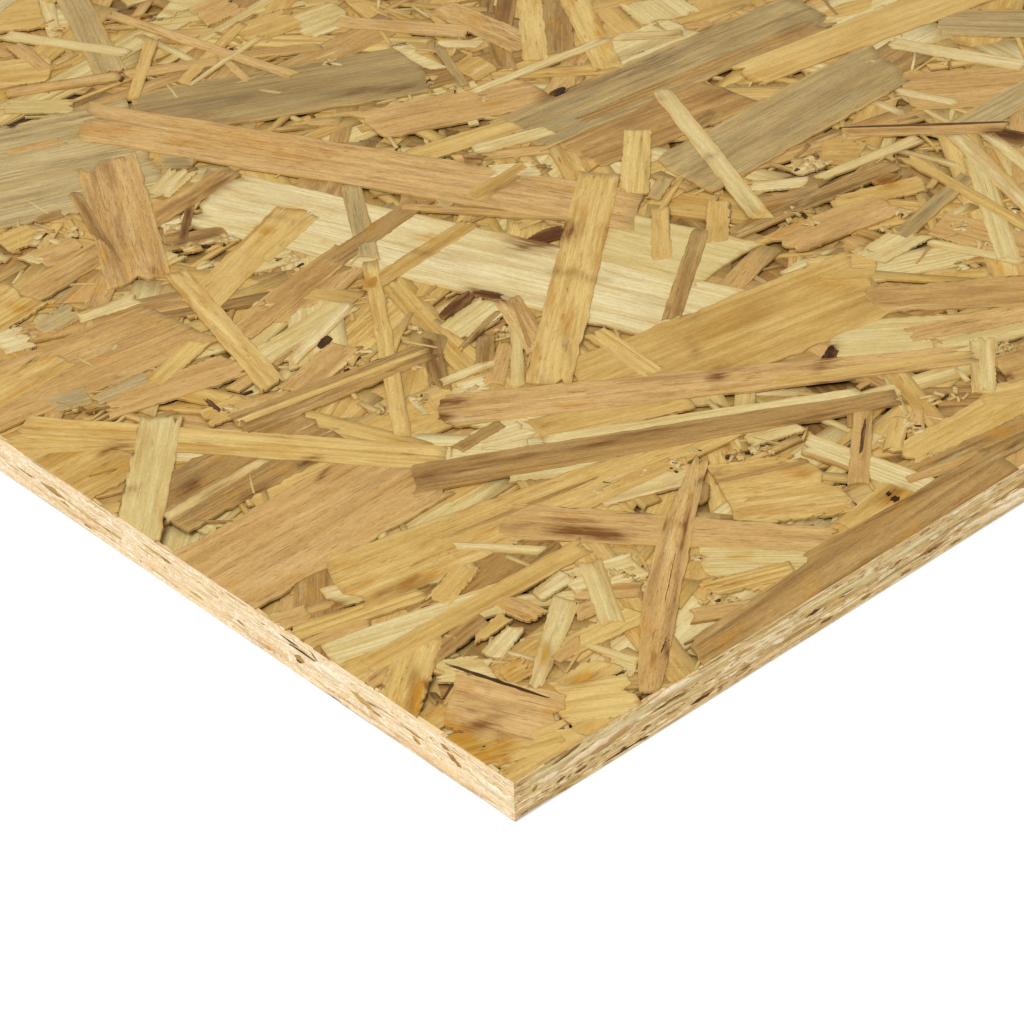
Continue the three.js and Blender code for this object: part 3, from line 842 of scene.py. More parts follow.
NEAR_SIDE = from_rows(Seen, 2, (
    (548, 768, 584, 740, 7, BROWN, 0, -0.6), (552, 766, 581, 744, 5, BARK, 1, 1.6),
    (560, 771, 624, 727, 7, END, 0, 0.1), (588, 757, 616, 740, 5, BROWN, 1, 0.8),
    (538, 782, 560, 770, 7, END, 1, -0.2), (532, 790, 538, 784, 6, BROWN, 1, 0.8),
    (556, 782, 566, 774, 3, BARK, 1, 1.2), (566, 778, 572, 772, 2, BARK, 1, 1),
    (619, 753, 627, 746, 5, BARK, 0, 0.7), (634, 744, 650, 735, 4, BARK, 0, 0.8),
    (646, 706, 704, 672, 8, END, 1, -0.1), (660, 712, 708, 684, 7, SAPWOOD, 0, 0.5),
    (690, 706, 712, 692, 4, BARK, 0, 0.9), (716, 692, 724, 686, 3, BROWN, 0, -0.4),
    (720, 660, 806, 612, 9, SAPWOOD, 0, 0.6), (740, 652, 800, 618, 4, END, 1, 0.2),
    (776, 646, 826, 618, 5, BROWN, 0, 0.7), (806, 618, 822, 608, 4, BARK, 0, 0.9),
    (828, 606, 846, 596, 5, PINE, 1, 0.4), (850, 588, 888, 570, 7, SAPWOOD, 0, 0.5),
    (918, 556, 946, 540, 5, BROWN, 0, -0.8), (924, 553, 938, 545, 4, BARK, 1, 0.6),
    (962, 530, 1030, 494, 8, END, 1), (990, 508, 1040, 482, 6, END, 1, 0.6),
    (520, 787, 602, 737, 8, SAPWOOD, 1, 1), (586, 747, 664, 699, 8, SAPWOOD, 1, 0.9),
    (652, 705, 736, 654, 6, SAPWOOD, 1, 1), (800, 616, 880, 568, 6, SAPWOOD, 1, 0.9),
    (880, 566, 960, 518, 6, SAPWOOD, 1, 1), (540, 793, 552, 786, 3, BROWN, 0, -0.3),
    (574, 773, 588, 764, 4, BROWN, 1, -0.6), (600, 757, 612, 749, 3, BROWN, 0, -0.3),
    (640, 732, 652, 724, 4, BROWN, 1, -0.8), (668, 716, 680, 708, 3, BROWN, 0, -0.3),
    (700, 697, 716, 687, 4, BROWN, 1, -0.3), (740, 672, 752, 664, 4, BROWN, 0, -0.8),
    (820, 624, 834, 616, 4, BROWN, 1, -0.3), (860, 600, 872, 592, 4, BROWN, 0, -0.8),
    (900, 576, 912, 568, 3, BROWN, 1, -0.3), (950, 546, 962, 538, 4, BROWN, 0, -0.6),
))
BY_SIGHT = FAR_LEFT + MIDDLE + FAR_RIGHT + LEFT + CENTRE + RIGHT + NEAR


@dataclass(frozen=True)
class Sheet:
    """The sheet's size and place, taken from the frame. Lengths in millimetres."""

    length: float
    width: float
    thickness: float
    corner: tuple[float, float, float]  # the near corner on the floor, in metres

    @classmethod
    def from_frame(cls) -> "Sheet":
        """Reads the size and place of the sheet's node."""
        low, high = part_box(NODE)
        return cls(*((top - base) / MM for base, top in zip(low, high)), tuple(low))

    def place(self, points: Array) -> Array:
        """Moves points from millimetres off the near corner to the frame's metres."""
        return points * MM + np.array(self.corner)


@dataclass(frozen=True)
class Viewpoint:
    """The camera: over the near corner, looking down on it through a long lens."""

    lens_px: float = 3077.2  # focal length in pixels of the square frame
    frame_px: float = 1024.0
    heading: float = 48.45  # degrees from the sheet's length towards its width
    pitch: float = 34.796  # degrees down
    roll: float = 2.152
    standoff: tuple[float, float, float] = (-267.563, -304.135, 346.573)  # mm from the near corner
    sensor_mm: float = 36.0
    clip: tuple[float, float] = (0.01, 100.0)  # metres
    looks: int = 5  # places along a strand that are tried for whether it shows

    def turn(self) -> Matrix:
        """The camera's turn in the frame.

        Returns:
            Its turn, with the camera looking down its own -Z.
        """
        return (
            Matrix.Rotation(math.radians(self.heading - 90), 4, "Z")
            @ Matrix.Rotation(math.radians(90 - self.pitch), 4, "X")
            @ Matrix.Rotation(math.radians(-self.roll), 4, "Z")
        )

    def ray(self, pixel: Array) -> Vector:
        """The way that the camera looks through a pixel of the frame, right and down from its corner."""
        half = self.frame_px / 2
        return self.turn().to_3x3() @ Vector((pixel[0] - half, half - pixel[1], -self.lens_px))

    def on_face(self, pixel: Array, sheet: Sheet) -> Array:
        """Finds the point of the upper face that a pixel shows.

        Args:
            pixel: right and down from the frame's corner.
            sheet: the sheet that is looked at.

        Returns:
            Millimetres along and across from the near corner.
        """
        ray = self.ray(pixel)
        reach = (sheet.thickness - self.standoff[2]) / ray.z
        return np.array([self.standoff[0] + reach * ray.x, self.standoff[1] + reach * ray.y])

    def on_side(self, pixel: Array, along: int) -> Array:
        """Finds the point of a near side that a pixel shows.

        Args:
            pixel: right and down from the frame's corner.
            along: axis that the side runs along.

        Returns:
            Millimetres along the side from the near corner, and up it.
        """
        ray = self.ray(pixel)
        reach = -self.standoff[1 - along] / ray[1 - along]
        return np.array([self.standoff[along] + reach * ray[along], self.standoff[2] + reach * ray.z])

    def lay(self, seen: Seen, sheet: Sheet) -> Strand:
        """Turns a listed strand into one on the sheet's upper face.

        Args:
            seen: the strand in pixels.
            sheet: the sheet that it lies on.

        Returns:
            The strand.
        """
        heel, tip = np.array(seen.heel, float), np.array(seen.tip, float)
        run = (tip - heel) / np.linalg.norm(tip - heel)
        off = np.array([-run[1], run[0]]) * seen.width / 2
        middle = (heel + tip) / 2
        start, stop, left, right = (
            self.on_face(pixel, sheet) for pixel in (heel, tip, middle - off, middle + off)
        )
        along = (stop - start) / np.linalg.norm(stop - start)
        spread = right - left
        width = abs(along[0] * spread[1] - along[1] * spread[0])
        laid = {"heel": tuple(start), "tip": tuple(stop), "width": float(width)}
        return Strand(**{**vars(seen), **laid})

    def show(self, seen: Seen, along: int) -> Section:
        """Turns a listed section into one on the near side that runs along an axis.

        Args:
            seen: the section in pixels.
            along: the axis.

        Returns:
            The section.
        """
        heel, tip = np.array(seen.heel, float), np.array(seen.tip, float)
        middle, off = (heel + tip) / 2, np.array([0.0, seen.width / 2])
        start, stop, spot, over, under = (
            self.on_side(pixel, along) for pixel in (heel, tip, middle, middle - off, middle + off)
        )
        if start[0] > stop[0]:
            start, stop = stop, start
        long, slope = stop - start
        tall = float(over[1] - under[1])
        return Section(
            tuple(spot), float(long), tall, seen.wood, seen.tone, float(slope), tight=seen.storey > 0
        )

    def sees(self, strand: Strand, sheet: Sheet) -> bool:
        """Whether the frame shows any part of a strand of the upper face.

        Args:
            strand: the strand.
            sheet: the sheet that it lies on.

        Returns:
            Whether any of the spots tried along its rims is in the frame.
        """
        heel, run = np.array(strand.heel), np.array(strand.tip) - strand.heel
        off = np.array([-run[1], run[0]]) / np.linalg.norm(run) * strand.width / 2
        shares = np.linspace(0, 1, self.looks)
        spots = np.array([heel + share * run + side * off for share in shares for side in (-1, 1)])
        away = np.column_stack([spots, np.full(len(spots), sheet.thickness)]) - self.standoff
        right, up, back = (away @ np.array(self.turn().to_3x3())).T
        off_axis = np.maximum(abs(right), abs(up)) * self.lens_px / -back
        return bool((off_axis < self.frame_px / 2).any())

    def soak(self, stain: Stain, sheet: Sheet) -> tuple[Array, Array, float, float]:
        """Turns a listed stain into its ends, its width and its depth on the sheet."""
        strand = self.lay(Seen(stain.heel, stain.tip, stain.width, Wood.PINE, 0.0), sheet)
        return np.array(strand.heel), np.array(strand.tip), strand.width, stain.depth

    def find(self, nest: Nest, sheet: Sheet) -> tuple[Array, float]:
        """Turns a listed nest into its middle and its reach on the sheet.

        Args:
            nest: the nest in pixels.
            sheet: the sheet that it is in.

        Returns:
            Its middle and its reach, in mm.
        """
        off = np.array([nest.reach, 0.0])
        left, right = (self.on_face(nest.spot + side * off, sheet) for side in (-1, 1))
        return (left + right) / 2, float(np.linalg.norm(right - left)) / 2

    def build(self, sheet: Sheet) -> Piece:
        """Places the scene's camera.

        Args:
            sheet: the sheet that the camera looks at.

        Returns:
            The camera.
        """
        optics = bpy.data.cameras.new("camera")
        optics.sensor_fit, optics.sensor_width = "HORIZONTAL", self.sensor_mm
        optics.lens = self.lens_px * self.sensor_mm / self.frame_px
        optics.clip_start, optics.clip_end = self.clip
        spot = Vector(sheet.corner) + Vector(self.standoff) * MM
        made = add_object("camera", optics, Matrix.Translation(spot) @ self.turn())
        bpy.context.scene.camera = made
        return made


@dataclass(frozen=True)
class Blank:
    """A flat strand of unit size, cut into rows along it and columns across it, closed all round.

    Its points are numbered as every strand's are, so a strand is this blank with its points moved.
    """

    rows: int
    columns: int
    crowding: float = 1.8  # how far the columns close up towards the rims

    def cut(self, flip: bool = False) -> dict[str, Array]:
        """Builds the blank.

        Args:
            flip: whether its faces are turned over, for a strand that is mirrored.

        Returns:
            Its points (x along from 0 to 1, y across from -1 to 1, z 0 on top and -1 below), each
            face's corners, number of corners and whether it is a top face.
        """
        shape = bmesh.new()
        bmesh.ops.create_grid(shape, x_segments=self.rows, y_segments=self.columns, size=1.0)
        top = list(shape.faces)
        rim = [edge for edge in shape.edges if edge.is_boundary]
        skirt = bmesh.ops.extrude_edge_only(shape, edges=rim)["geom"]
        lowered = [v for v in skirt if isinstance(v, bmesh.types.BMVert)]
        bmesh.ops.translate(shape, verts=lowered, vec=(0.0, 0.0, -1.0))
        hem = [e for e in skirt if isinstance(e, bmesh.types.BMEdge) and e.is_boundary]
        bmesh.ops.holes_fill(shape, edges=hem, sides=0)
        bmesh.ops.recalc_face_normals(shape, faces=shape.faces)
        if flip:
            bmesh.ops.reverse_faces(shape, faces=shape.faces)
        shape.verts.index_update()
        points = np.array([v.co[:] for v in shape.verts])
        points[:, 0] = (points[:, 0] + 1) / 2
        laid = set(top)
        # Extruding leaves the skirt's faces in another order each run, so they are put in one.
        faces = sorted(shape.faces, key=lambda f: (f not in laid, sorted(v.index for v in f.verts)))
        corners = [[v.index for v in face.verts] for face in faces]
        upper = [face in laid for face in faces]
        shape.free()
        return {
            "points": points,
            "corners": np.concatenate(corners),
            "count": np.array([len(c) for c in corners]),
            "top": np.array(upper),
        }


@dataclass(frozen=True)
class Knife:
    """How unevenly the strands are cut. Shares of a strand's raggedness, unless they say otherwise."""

    most: float = 0.12  # raggedness, as a share of the strand's length
    level: float = 0.9  # how far in an end's middle lies
    wave: float = 0.5  # height of the slow wave across an end
    waves: tuple[float, float] = (1.0, 4.0)  # its radians from the middle to a rim
    jag: float = 0.25  # how far neighbouring splinters differ
    missing: float = 1.3  # depth of a splinter that is missing
    missing_share: float = 0.12  # of the splinters
    askew: float = 0.1  # how far an end runs off square, as a share of the strand's width
    taper_power: float = 1.3  # how late along it a strand tapers
    point_power: int = 2  # how near its ends it comes to a point
    rough_power: int = 3  # how near its rims a long side's wandering shows
    rough_share: float = 0.008  # how far a long side wanders, as a share of the strand's width
    rough_mm: float = 0.06  # and on top of that
    lean_mm: float = 0.007  # how far a strand lies out of level, each way
    mottle: float = 0.06  # how much strands differ in tone


@dataclass(frozen=True)
class Press:
    """The hot press, which leaves every strand nearly flush with the face."""

    storey_mm: float = 0.036  # how much deeper each storey lies
    hollow_mm: float = 0.08  # and how much more each storey below the lowest that the press reached
    top_storey: float = 9.0
    strand_mm: float = 0.5  # a strand's thickness after pressing
    swell_mm: float = 0.05  # slow unevenness of the face
    roll_mm: float = 0.02  # how far a strand's rim is rolled down
    roll_power: int = 8  # how close to the rim the roll keeps
    end_roll: float = 0.8  # share of it at a strand's ends
    end_start: float = 0.99  # where they start, from 0 in its middle to 1
    swell_runs: tuple = ((23.0, 0.4), (37.0, 2.1), (61.0, 4.4))  # wavelength in mm, heading

    def rolled(self, s: Array, t: Array) -> Array:
        """How far a strand's rim is pressed down, along it from 0 to 1 and across from -1 to 1."""
        at_end = np.abs(2 * s - 1) > self.end_start
        return self.roll_mm * np.maximum(np.abs(t) ** self.roll_power, self.end_roll * at_end)

    def sunk(self, storey: Array, x: Array, y: Array) -> Array:
        """Tells how far below the face a strand lies.

        Args:
            storey: how high it lies in the mat.
            x: mm along the sheet.
            y: mm across it.

        Returns:
            Millimetres below the face.
        """
        swell = sum(np.sin((x * math.cos(a) + y * math.sin(a)) * TURN / mm) for mm, a in self.swell_runs)
        level = (self.top_storey - storey) * self.storey_mm + np.maximum(-storey, 0) * self.hollow_mm
        return level + self.swell_mm * (1 + swell / len(self.swell_runs))


@dataclass(frozen=True)
class StrandMat:
    """The strands of one face of the sheet, joined into pieces by where they lie along it."""

    sheet: Sheet
    name: str
    upward: bool
    press: Press = Press()
    knife: Knife = Knife()
    stains: tuple = ()  # ends, width and depth of each
    resins: tuple = ()
    bays: int = 4  # pieces that the length is shared between

    def _end(self, col: dict, length: Array, columns: int, draw: Draw) -> Array:
        """Draws how far in each splinter of an end stops.

        Args:
            col: the strands' sizes, each in a column.
            length: their lengths, in a column.
            columns: splinters of an end, less one.
            draw: the source of the random numbers.

        Returns:
            Millimetres for each splinter: askew, in a slow wave, and here and there missing.
        """
        n, knife = len(length), self.knife
        most = np.minimum(col["ragged"], knife.most * length)
        place = np.linspace(-1, 1, columns + 1)
        wave = np.sin(place * draw.uniform(*knife.waves, (n, 1)) + draw.uniform(0, TURN, (n, 1)))
        jags = draw.random((n, columns + 1))
        missing = draw.random((n, columns + 1)) < knife.missing_share
        askew = np.abs(draw.normal(0, 1, (n, 1))) * (1 + place * draw.choice((-1, 1), (n, 1)))
        uneven = knife.level + knife.wave * wave + knife.jag * jags + knife.missing * missing
        return most * uneven + col["width"] * knife.askew * askew

    def shapes(self, strands: list[Strand], blank: Blank, draw: Draw) -> dict:
        """Lays strands as moved copies of one blank.

        Args:
            strands: the strands, all cut to this blank.
            blank: the blank they are cut to.
            draw: the source of their small differences.

        Returns:
            Arrays for joined().
        """
        cut, n, knife = blank.cut(flip=not self.upward), len(strands), self.knife
        heel = np.array([strand.heel for strand in strands], float)
        tip = np.array([strand.tip for strand in strands], float)
        col = {
            key: np.array([getattr(strand, key) for strand in strands], float)[:, None]
            for key in ("width", "storey", "tone", "ragged", "taper", "bow", "point")
        }
        length = np.linalg.norm(tip - heel, axis=1)[:, None]
        along = (tip - heel) / length
        across = np.stack([-along[:, 1], along[:, 0]], 1)
        s, t, down = (cut["points"][None, :, i] for i in range(3))
        column = np.rint((t[0] + 1) / 2 * blank.columns).astype(int)
        row = np.rint(s[0] * blank.rows).astype(int)
        t = np.sign(t) * (1 - (1 - np.abs(t)) ** blank.crowding)
        start, stop = (self._end(col, length, blank.columns, draw)[:, column] for _ in range(2))
        u = start + s * (length - stop - start)
        share = u / length
        narrow = 1 - col["taper"] * np.clip(1 - share, 0, 1) ** knife.taper_power
        outer = np.clip(np.abs(2 * share - 1), 0, 1) ** knife.point_power
        narrow = narrow * (1 - col["point"] * outer)
        rough = draw.normal(0, 1, (n, blank.rows + 1, 2))
        rough *= (knife.rough_share * col["width"] + knife.rough_mm)[:, :, None]
        side = np.where(t > 0, rough[:, row, 1], rough[:, row, 0]) * np.abs(t) ** knife.rough_power
        arch = 4 * share * (1 - share)  # 1 in the middle and 0 at the ends
        v = t * col["width"] / 2 * narrow + side + col["bow"] * arch
        x, y = (heel[:, i : i + 1] + u * along[:, i : i + 1] + v * across[:, i : i + 1] for i in range(2))
        lean = sum(draw.normal(0, knife.lean_mm, (n, 1)) * way for way in (t, share * 2 - 1))
        depth = self.press.sunk(col["storey"], x, y) + self.press.rolled(s, t) + lean
        depth -= down * self.press.strand_mm
        z = self.sheet.thickness - depth if self.upward else depth
        seed = np.broadcast_to(draw.uniform(0, SEEDS, (n, 1)), u.shape)
        off_side = (1 - np.abs(t) * (blank.columns > 1)) * col["width"] / 2 * narrow
        off_end = np.minimum(s, 1 - s) * (length - stop - start)
        woods = np.array([strand.wood.value for strand in strands])[:, None]
        return {
            **cut,
            "points": np.stack([x, y, z], -1),
            "grain": np.stack([u + FAR_APART * np.sin(seed), v, seed], -1),
            # Towards the foot of its walls a strand's tone rises by half: paler cut fibres, with a painted
            # highlight where light catches the edge.
            "tone": col["tone"] + draw.normal(0, knife.mottle, (n, 1)) - down / 2,
            "rim": np.minimum(off_side, off_end),
            "stain": self._soaked(self.stains, x, y) * (down == 0),
            "resin": self._soaked(self.resins, x, y) * (down == 0),
            "wood": np.broadcast_to(woods, (n, len(cut["top"]))),
            "level": col["storey"][:, 0],
        }

    def _soaked(self, stains: tuple, x: Array, y: Array) -> Array:
        """Tells how deeply stains mark each point of the face.

        Args:
            stains: the ends, width and depth of each.
            x: mm along the sheet.
            y: mm across it.

        Returns:
            The deepest mark on each point, from 0.
        """
        most = np.zeros_like(x)
        for heel, tip, width, depth in stains:
            run = tip - heel
            long = np.linalg.norm(run)
            along = ((x - heel[0]) * run[0] + (y - heel[1]) * run[1]) / long / long
            across = ((y - heel[1]) * run[0] - (x - heel[0]) * run[1]) / long
            fall = (2 * along - 1) ** STAIN_ENDS + (2 * across / width) ** STAIN_SIDES
            mark = depth * np.exp(-fall)
            most = np.maximum(most, mark)
        return most

    def build(self, lots: list[tuple[list[Strand], Blank]], draw: Draw) -> list:
        """Builds the face's pieces.

        Args:
            lots: strands with the blank that they are cut to.
            draw: the source of their small differences.

        Returns:
            One piece for each bay of the sheet's length.
        """
        span = self.sheet.length / self.bays
        made = []
        for bay in range(self.bays):
            parts = []
            for strands, blank in lots:
                places = (int((strand.heel[0] + strand.tip[0]) / 2 // span) for strand in strands)
                here = [s for s, place in zip(strands, places) if min(max(place, 0), self.bays - 1) == bay]
                if here:
                    parts.append(self.shapes(here, blank, draw))
            mesh = joined(f"{self.name}_{bay + 1}", parts, self.sheet)
            sawn_off(mesh, self.sheet, draw)
            made.append(dressed(mesh))
        return made


def joined(name: str, lots: list[dict], sheet: Sheet) -> Mesh:
    """Joins lots of blanks into one mesh.

    Args:
        name: the mesh's name.
        lots: each with points, grain, tone, wood and level for its copies, and its blank's faces.
        sheet: the sheet that the points are measured on.

    Returns:
        The mesh, in the frame's metres, with its grain, tone and level.
    """
    base, corners = 0, []
    for lot in lots:
        n, each = lot["points"].shape[:2]
        corners.append((lot["corners"][None, :] + (np.arange(n) * each)[:, None] + base).ravel())
        base += n * each
    corner = np.concatenate(corners)
    count, top = (
        np.concatenate([np.tile(lot[key], len(lot["wood"])) for lot in lots]) for key in ("count", "top")
    )
    wood = np.concatenate([lot["wood"].ravel() for lot in lots])
    level = np.concatenate([np.repeat(lot["level"], len(lot["count"])) for lot in lots])
    points, grain = (
        np.concatenate([lot[key].reshape(-1, 3) for lot in lots]) for key in ("points", "grain")
    )
    mesh = bpy.data.meshes.new(name)
    mesh.vertices.add(base)
    mesh.vertices.foreach_set("co", sheet.place(points).astype(np.float32).ravel())
    mesh.loops.add(len(corner))
    mesh.loops.foreach_set("vertex_index", corner.astype(np.int32))
    mesh.polygons.add(len(count))
    mesh.polygons.foreach_set("loop_start", (np.cumsum(count) - count).astype(np.int32))
    mesh.polygons.foreach_set("material_index", wood.astype(np.int32))
    mesh.update(calc_edges=True)
    add_attribute(mesh, "grain", "FLOAT_VECTOR", "CORNER", grain[corner].ravel())
    add_attribute(mesh, "level", "FLOAT", "FACE", level)
    for key in ("tone", "rim", "stain", "resin"):
        values = np.concatenate([lot[key].ravel() for lot in lots])
        add_attribute(mesh, key, "FLOAT", "POINT", values)
    add_attribute(mesh, "sharp_face", "BOOLEAN", "FACE", ~top)
    return mesh


def sawn_off(mesh: Mesh, sheet: Sheet, draw: Draw, uneven: float = 0.02, reach: float = 1e-7) -> None:
    """Saws a mat off at the sheet's four sides, closes the cut ends, and puts low strands first.

    Args:
        mesh: the mat, in the frame's metres.
        sheet: the sheet that it is sawn to.
        draw: the source of the cut's small unevenness.
        uneven: how far in the deepest cut end lies, in mm.
        reach: how close to the cut a point counts as on it, in metres.
    """
    shape = bmesh.new()
    shape.from_mesh(mesh)
    low = Vector(sheet.corner)
    high = low + Vector((sheet.length, sheet.width, 0)) * MM
    grain = shape.loops.layers.float_vector["grain"]
    for spot, out in ((low, (-1, 0, 0)), (low, (0, -1, 0)), (high, (1, 0, 0)), (high, (0, 1, 0))):
        way = Vector(out)
        past = [f for f in shape.faces if any((v.co - spot).dot(way) > 0 for v in f.verts)]
        # The keys of a dict keep their order, so every run saws alike.
        parts = dict.fromkeys([*past, *(part for f in past for part in (*f.edges, *f.verts))])
        bmesh.ops.bisect_plane(
            shape, geom=list(parts), plane_co=spot, plane_no=way, clear_outer=True, dist=reach
        )
        rim = [edge for edge in shape.edges if edge.is_boundary]
        for face in bmesh.ops.holes_fill(shape, edges=rim, sides=0)["faces"]:
            face.smooth = False
            face.material_index = (Wood.END if out[0] else Wood.SAWN).value
            luck = draw.uniform(0, SEEDS)
            for loop in face.loops:
                place = loop.vert.co / MM
                loop[grain] = (place.y if out[0] else place.x, place.z, luck)
            # No two cut ends lie in one plane, as strands press into one another.
            shift = way * (-draw.random() * uneven * MM)
            for vertex in face.verts:
                vertex.co += shift
    level = shape.faces.layers.float["level"]
    shape.faces.sort(key=lambda face: face[level])
    shape.to_mesh(mesh)
    shape.free()
    mesh.attributes.remove(mesh.attributes["level"])


def dressed(mesh: Mesh) -> Piece:
    """Makes a mesh a piece of the sheet, with its flat map and the woods' finishes.

    Args:
        mesh: the piece's mesh, in the frame's metres, under the piece's name.

    Returns:
        The piece, riding on the sheet's body.
    """
    places = np.empty(len(mesh.vertices) * 3, np.float32)
    mesh.vertices.foreach_get("co", places)
    places = places.reshape(-1, 3)
    flat = np.argsort(-np.ptp(places, axis=0), kind="stable")[:2]
    flat.sort()
    laid = (places[:, flat] - places[:, flat].min(0)) / np.ptp(places[:, flat], axis=0)
    corner = np.empty(len(mesh.loops), np.int32)
    mesh.loops.foreach_get("vertex_index", corner)
    layer = mesh.uv_layers.new(name=BAKE_MAP)
    layer.uv.foreach_set("vector", laid[corner].astype(np.float32).ravel())
    for finish in (FINISHES[wood] for wood in Wood):
        mesh.materials.append(bpy.data.materials.get(finish.name) or finish.material())
    piece = add_object(mesh.name, mesh)
    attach(piece, BODY)
    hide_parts(NODE)
    return piece


@dataclass(frozen=True)
class Load:
    """One load of strands for the machine that drops them. Sizes in millimetres, low and high."""

    count: int
    lengths: tuple[float, float]
    widths: tuple[float, float]
    storeys: tuple[float, float]
    woods: tuple[float, ...]  # shares, in the order of Wood
    turn: float = 26.0  # degrees that a strand strays from the sheet's length
    tone: float = 0.0

    def fitted(self, reach: float, storey: float) -> "Load":
        """Fits a load that is given in shares of a nest's reach to a nest.

        Args:
            reach: of the nest, in mm.
            storey: what the nest lies on.

        Returns:
            The load in millimetres.
        """
        lengths, widths = ((low * reach, high * reach) for low, high in (self.lengths, self.widths))
        storeys = (self.storeys[0] + storey, self.storeys[1] + storey)
        return replace(self, lengths=lengths, widths=widths, storeys=storeys)


#        pine  ring  sap   beech brown stain bark   end  sawn
FACE = (0.18, 0.13, 0.24, 0.25, 0.1, 0.097, 0.003, 0.0, 0.0)
PLAIN = (0.36, 0.18, 0.24, 0.16, 0.06, 0.0, 0.0, 0.0, 0.0)
# The deepest strands, seen only in the hollows, take more brown heartwood and bark: painted shade of the
# hollows.
DEEP_SHADED = (0.34, 0.0, 0.1, 0.16, 0.34, 0.0, 0.06, 0.0, 0.0)
CRUMBS = (0.3, 0.0, 0.42, 0.04, 0.2, 0.0, 0.04, 0.0, 0.0)
PALE = (0.2, 0.0, 0.62, 0.18, 0.0, 0.0, 0.0, 0.0, 0.0)
# Dark slivers of brown wood and bark, laid just under a nest's crumbs and darker in tone, which show as dark
# gaps round them: painted shade.
SHADE_UNDER_CRUMBS = (0.0, 0.0, 0.0, 0.0, 0.6, 0.0, 0.4, 0.0, 0.0)
# What the saw shows: mostly ends on the short sides, long sections on the other two.
ENDS = (0.01, 0.0, 0.03, 0.005, 0.006, 0.0, 0.002, 0.947, 0.0)
SIDES = (0.05, 0.02, 0.12, 0.02, 0.03, 0.02, 0.01, 0.13, 0.6)

FACE_LOADS = (
    Load(1300, (90, 150), (25, 60), (-14.0, -8.0), DEEP_SHADED, 60),
    Load(4200, (60, 150), (6, 42), (0.0, 9.0), FACE, 26, 0.3),
    Load(3000, (15, 60), (2, 9), (-3.0, 8.0), FACE, 40, 0.3),
)
CORNER_LOADS = (
    Load(210, (60, 110), (15, 40), (-10.0, -7.0), DEEP_SHADED, 60),
    Load(800, (30, 95), (4, 18), (-7.0, 1.0), PLAIN, 45),
    Load(1450, (8, 30), (1.2, 5), (-8.0, 3.5), PLAIN, 60),
    Load(2400, (3, 13), (0.5, 1.5), (-5.0, 5.5), CRUMBS, 50),
)
NEST_LOADS = (  # sizes as shares of a nest's reach, storeys from the nest's own
    Load(3, (0.6, 1.4), (0.24, 0.5), (-0.3, 0.3), SHADE_UNDER_CRUMBS, 50, -0.3),
    Load(6, (0.8, 1.9), (0.4, 0.9), (0.0, 0.5), PALE, 45, 0.4),
)


@dataclass(frozen=True)
class Spreader:
    """The machine that drops the strands, over the whole sheet or over a part of it."""

    sheet: Sheet
    beyond: float = 20.0  # mm past the sheet's sides that it still drops strands
    mottle: float = 0.27  # how much the strands differ in tone
    width_spread: float = 1.6  # how far their widths gather round the middle of their range
    bow: float = 0.012  # how far a strand bends, as a share of its length
    taper: float = 0.6  # the most of its width that one loses
    ragged: float = 0.03  # how far its splinters differ, over its length to the power that follows
    ragged_power: float = 0.8

    def drop(self, load: Load, draw: Draw, area: tuple | None = None) -> list[Strand]:
        """Drops strands at random.

        Args:
            load: what to drop.
            draw: the source of the random numbers.
            area: low and high limits of their middles along and across; the whole sheet if None.

        Returns:
            The strands.
        """
        out, sheet, n = self.beyond, self.sheet, load.count
        low_x, high_x, low_y, high_y = area or (-out, sheet.length + out, -out, sheet.width + out)
        middle = np.stack([draw.uniform(low_x, high_x, n), draw.uniform(low_y, high_y, n)], 1)
        long = draw.uniform(*load.lengths, n)
        slim, broad = load.widths
        wide = slim * (broad / slim) ** draw.beta(self.width_spread, self.width_spread, n)
        storey = draw.uniform(*load.storeys, n)
        angle = np.radians(draw.normal(0, load.turn, n))
        wood = draw.choice(len(load.woods), n, p=load.woods)
        tone = draw.normal(load.tone, self.mottle, n).clip(-1, 1)
        step = np.stack([np.cos(angle), np.sin(angle)], 1) * long[:, None] / 2
        bow = draw.normal(0, self.bow, n) * long
        taper = draw.uniform(0, self.taper, n)
        ragged = self.ragged * long**self.ragged_power
        heels, tips = (map(tuple, (middle + way * step).tolist()) for way in (-1, 1))
        rest = (column.tolist() for column in (storey, tone, taper, ragged, bow))
        kinds = (Wood(int(number)) for number in wood)
        return [Strand(*values) for values in zip(heels, tips, wide.tolist(), kinds, *rest)]

    def fill(self, spot: Array, reach: float, storey: float, draw: Draw) -> list[Strand]:
        """Fills a hollow of the face with pale crumbs over dark slivers of brown wood and bark, which show
        between them as painted shade.

        Args:
            spot: the middle of the hollow.
            reach: how far it goes from there, in mm.
            storey: what its crumbs lie on.
            draw: the source of the random numbers.

        Returns:
            The crumbs.
        """
        area = (spot[0] - reach, spot[0] + reach, spot[1] - reach, spot[1] + reach)
        fitted = (load.fitted(reach, storey) for load in NEST_LOADS)
        return [crumb for load in fitted for crumb in self.drop(load, draw, area)]


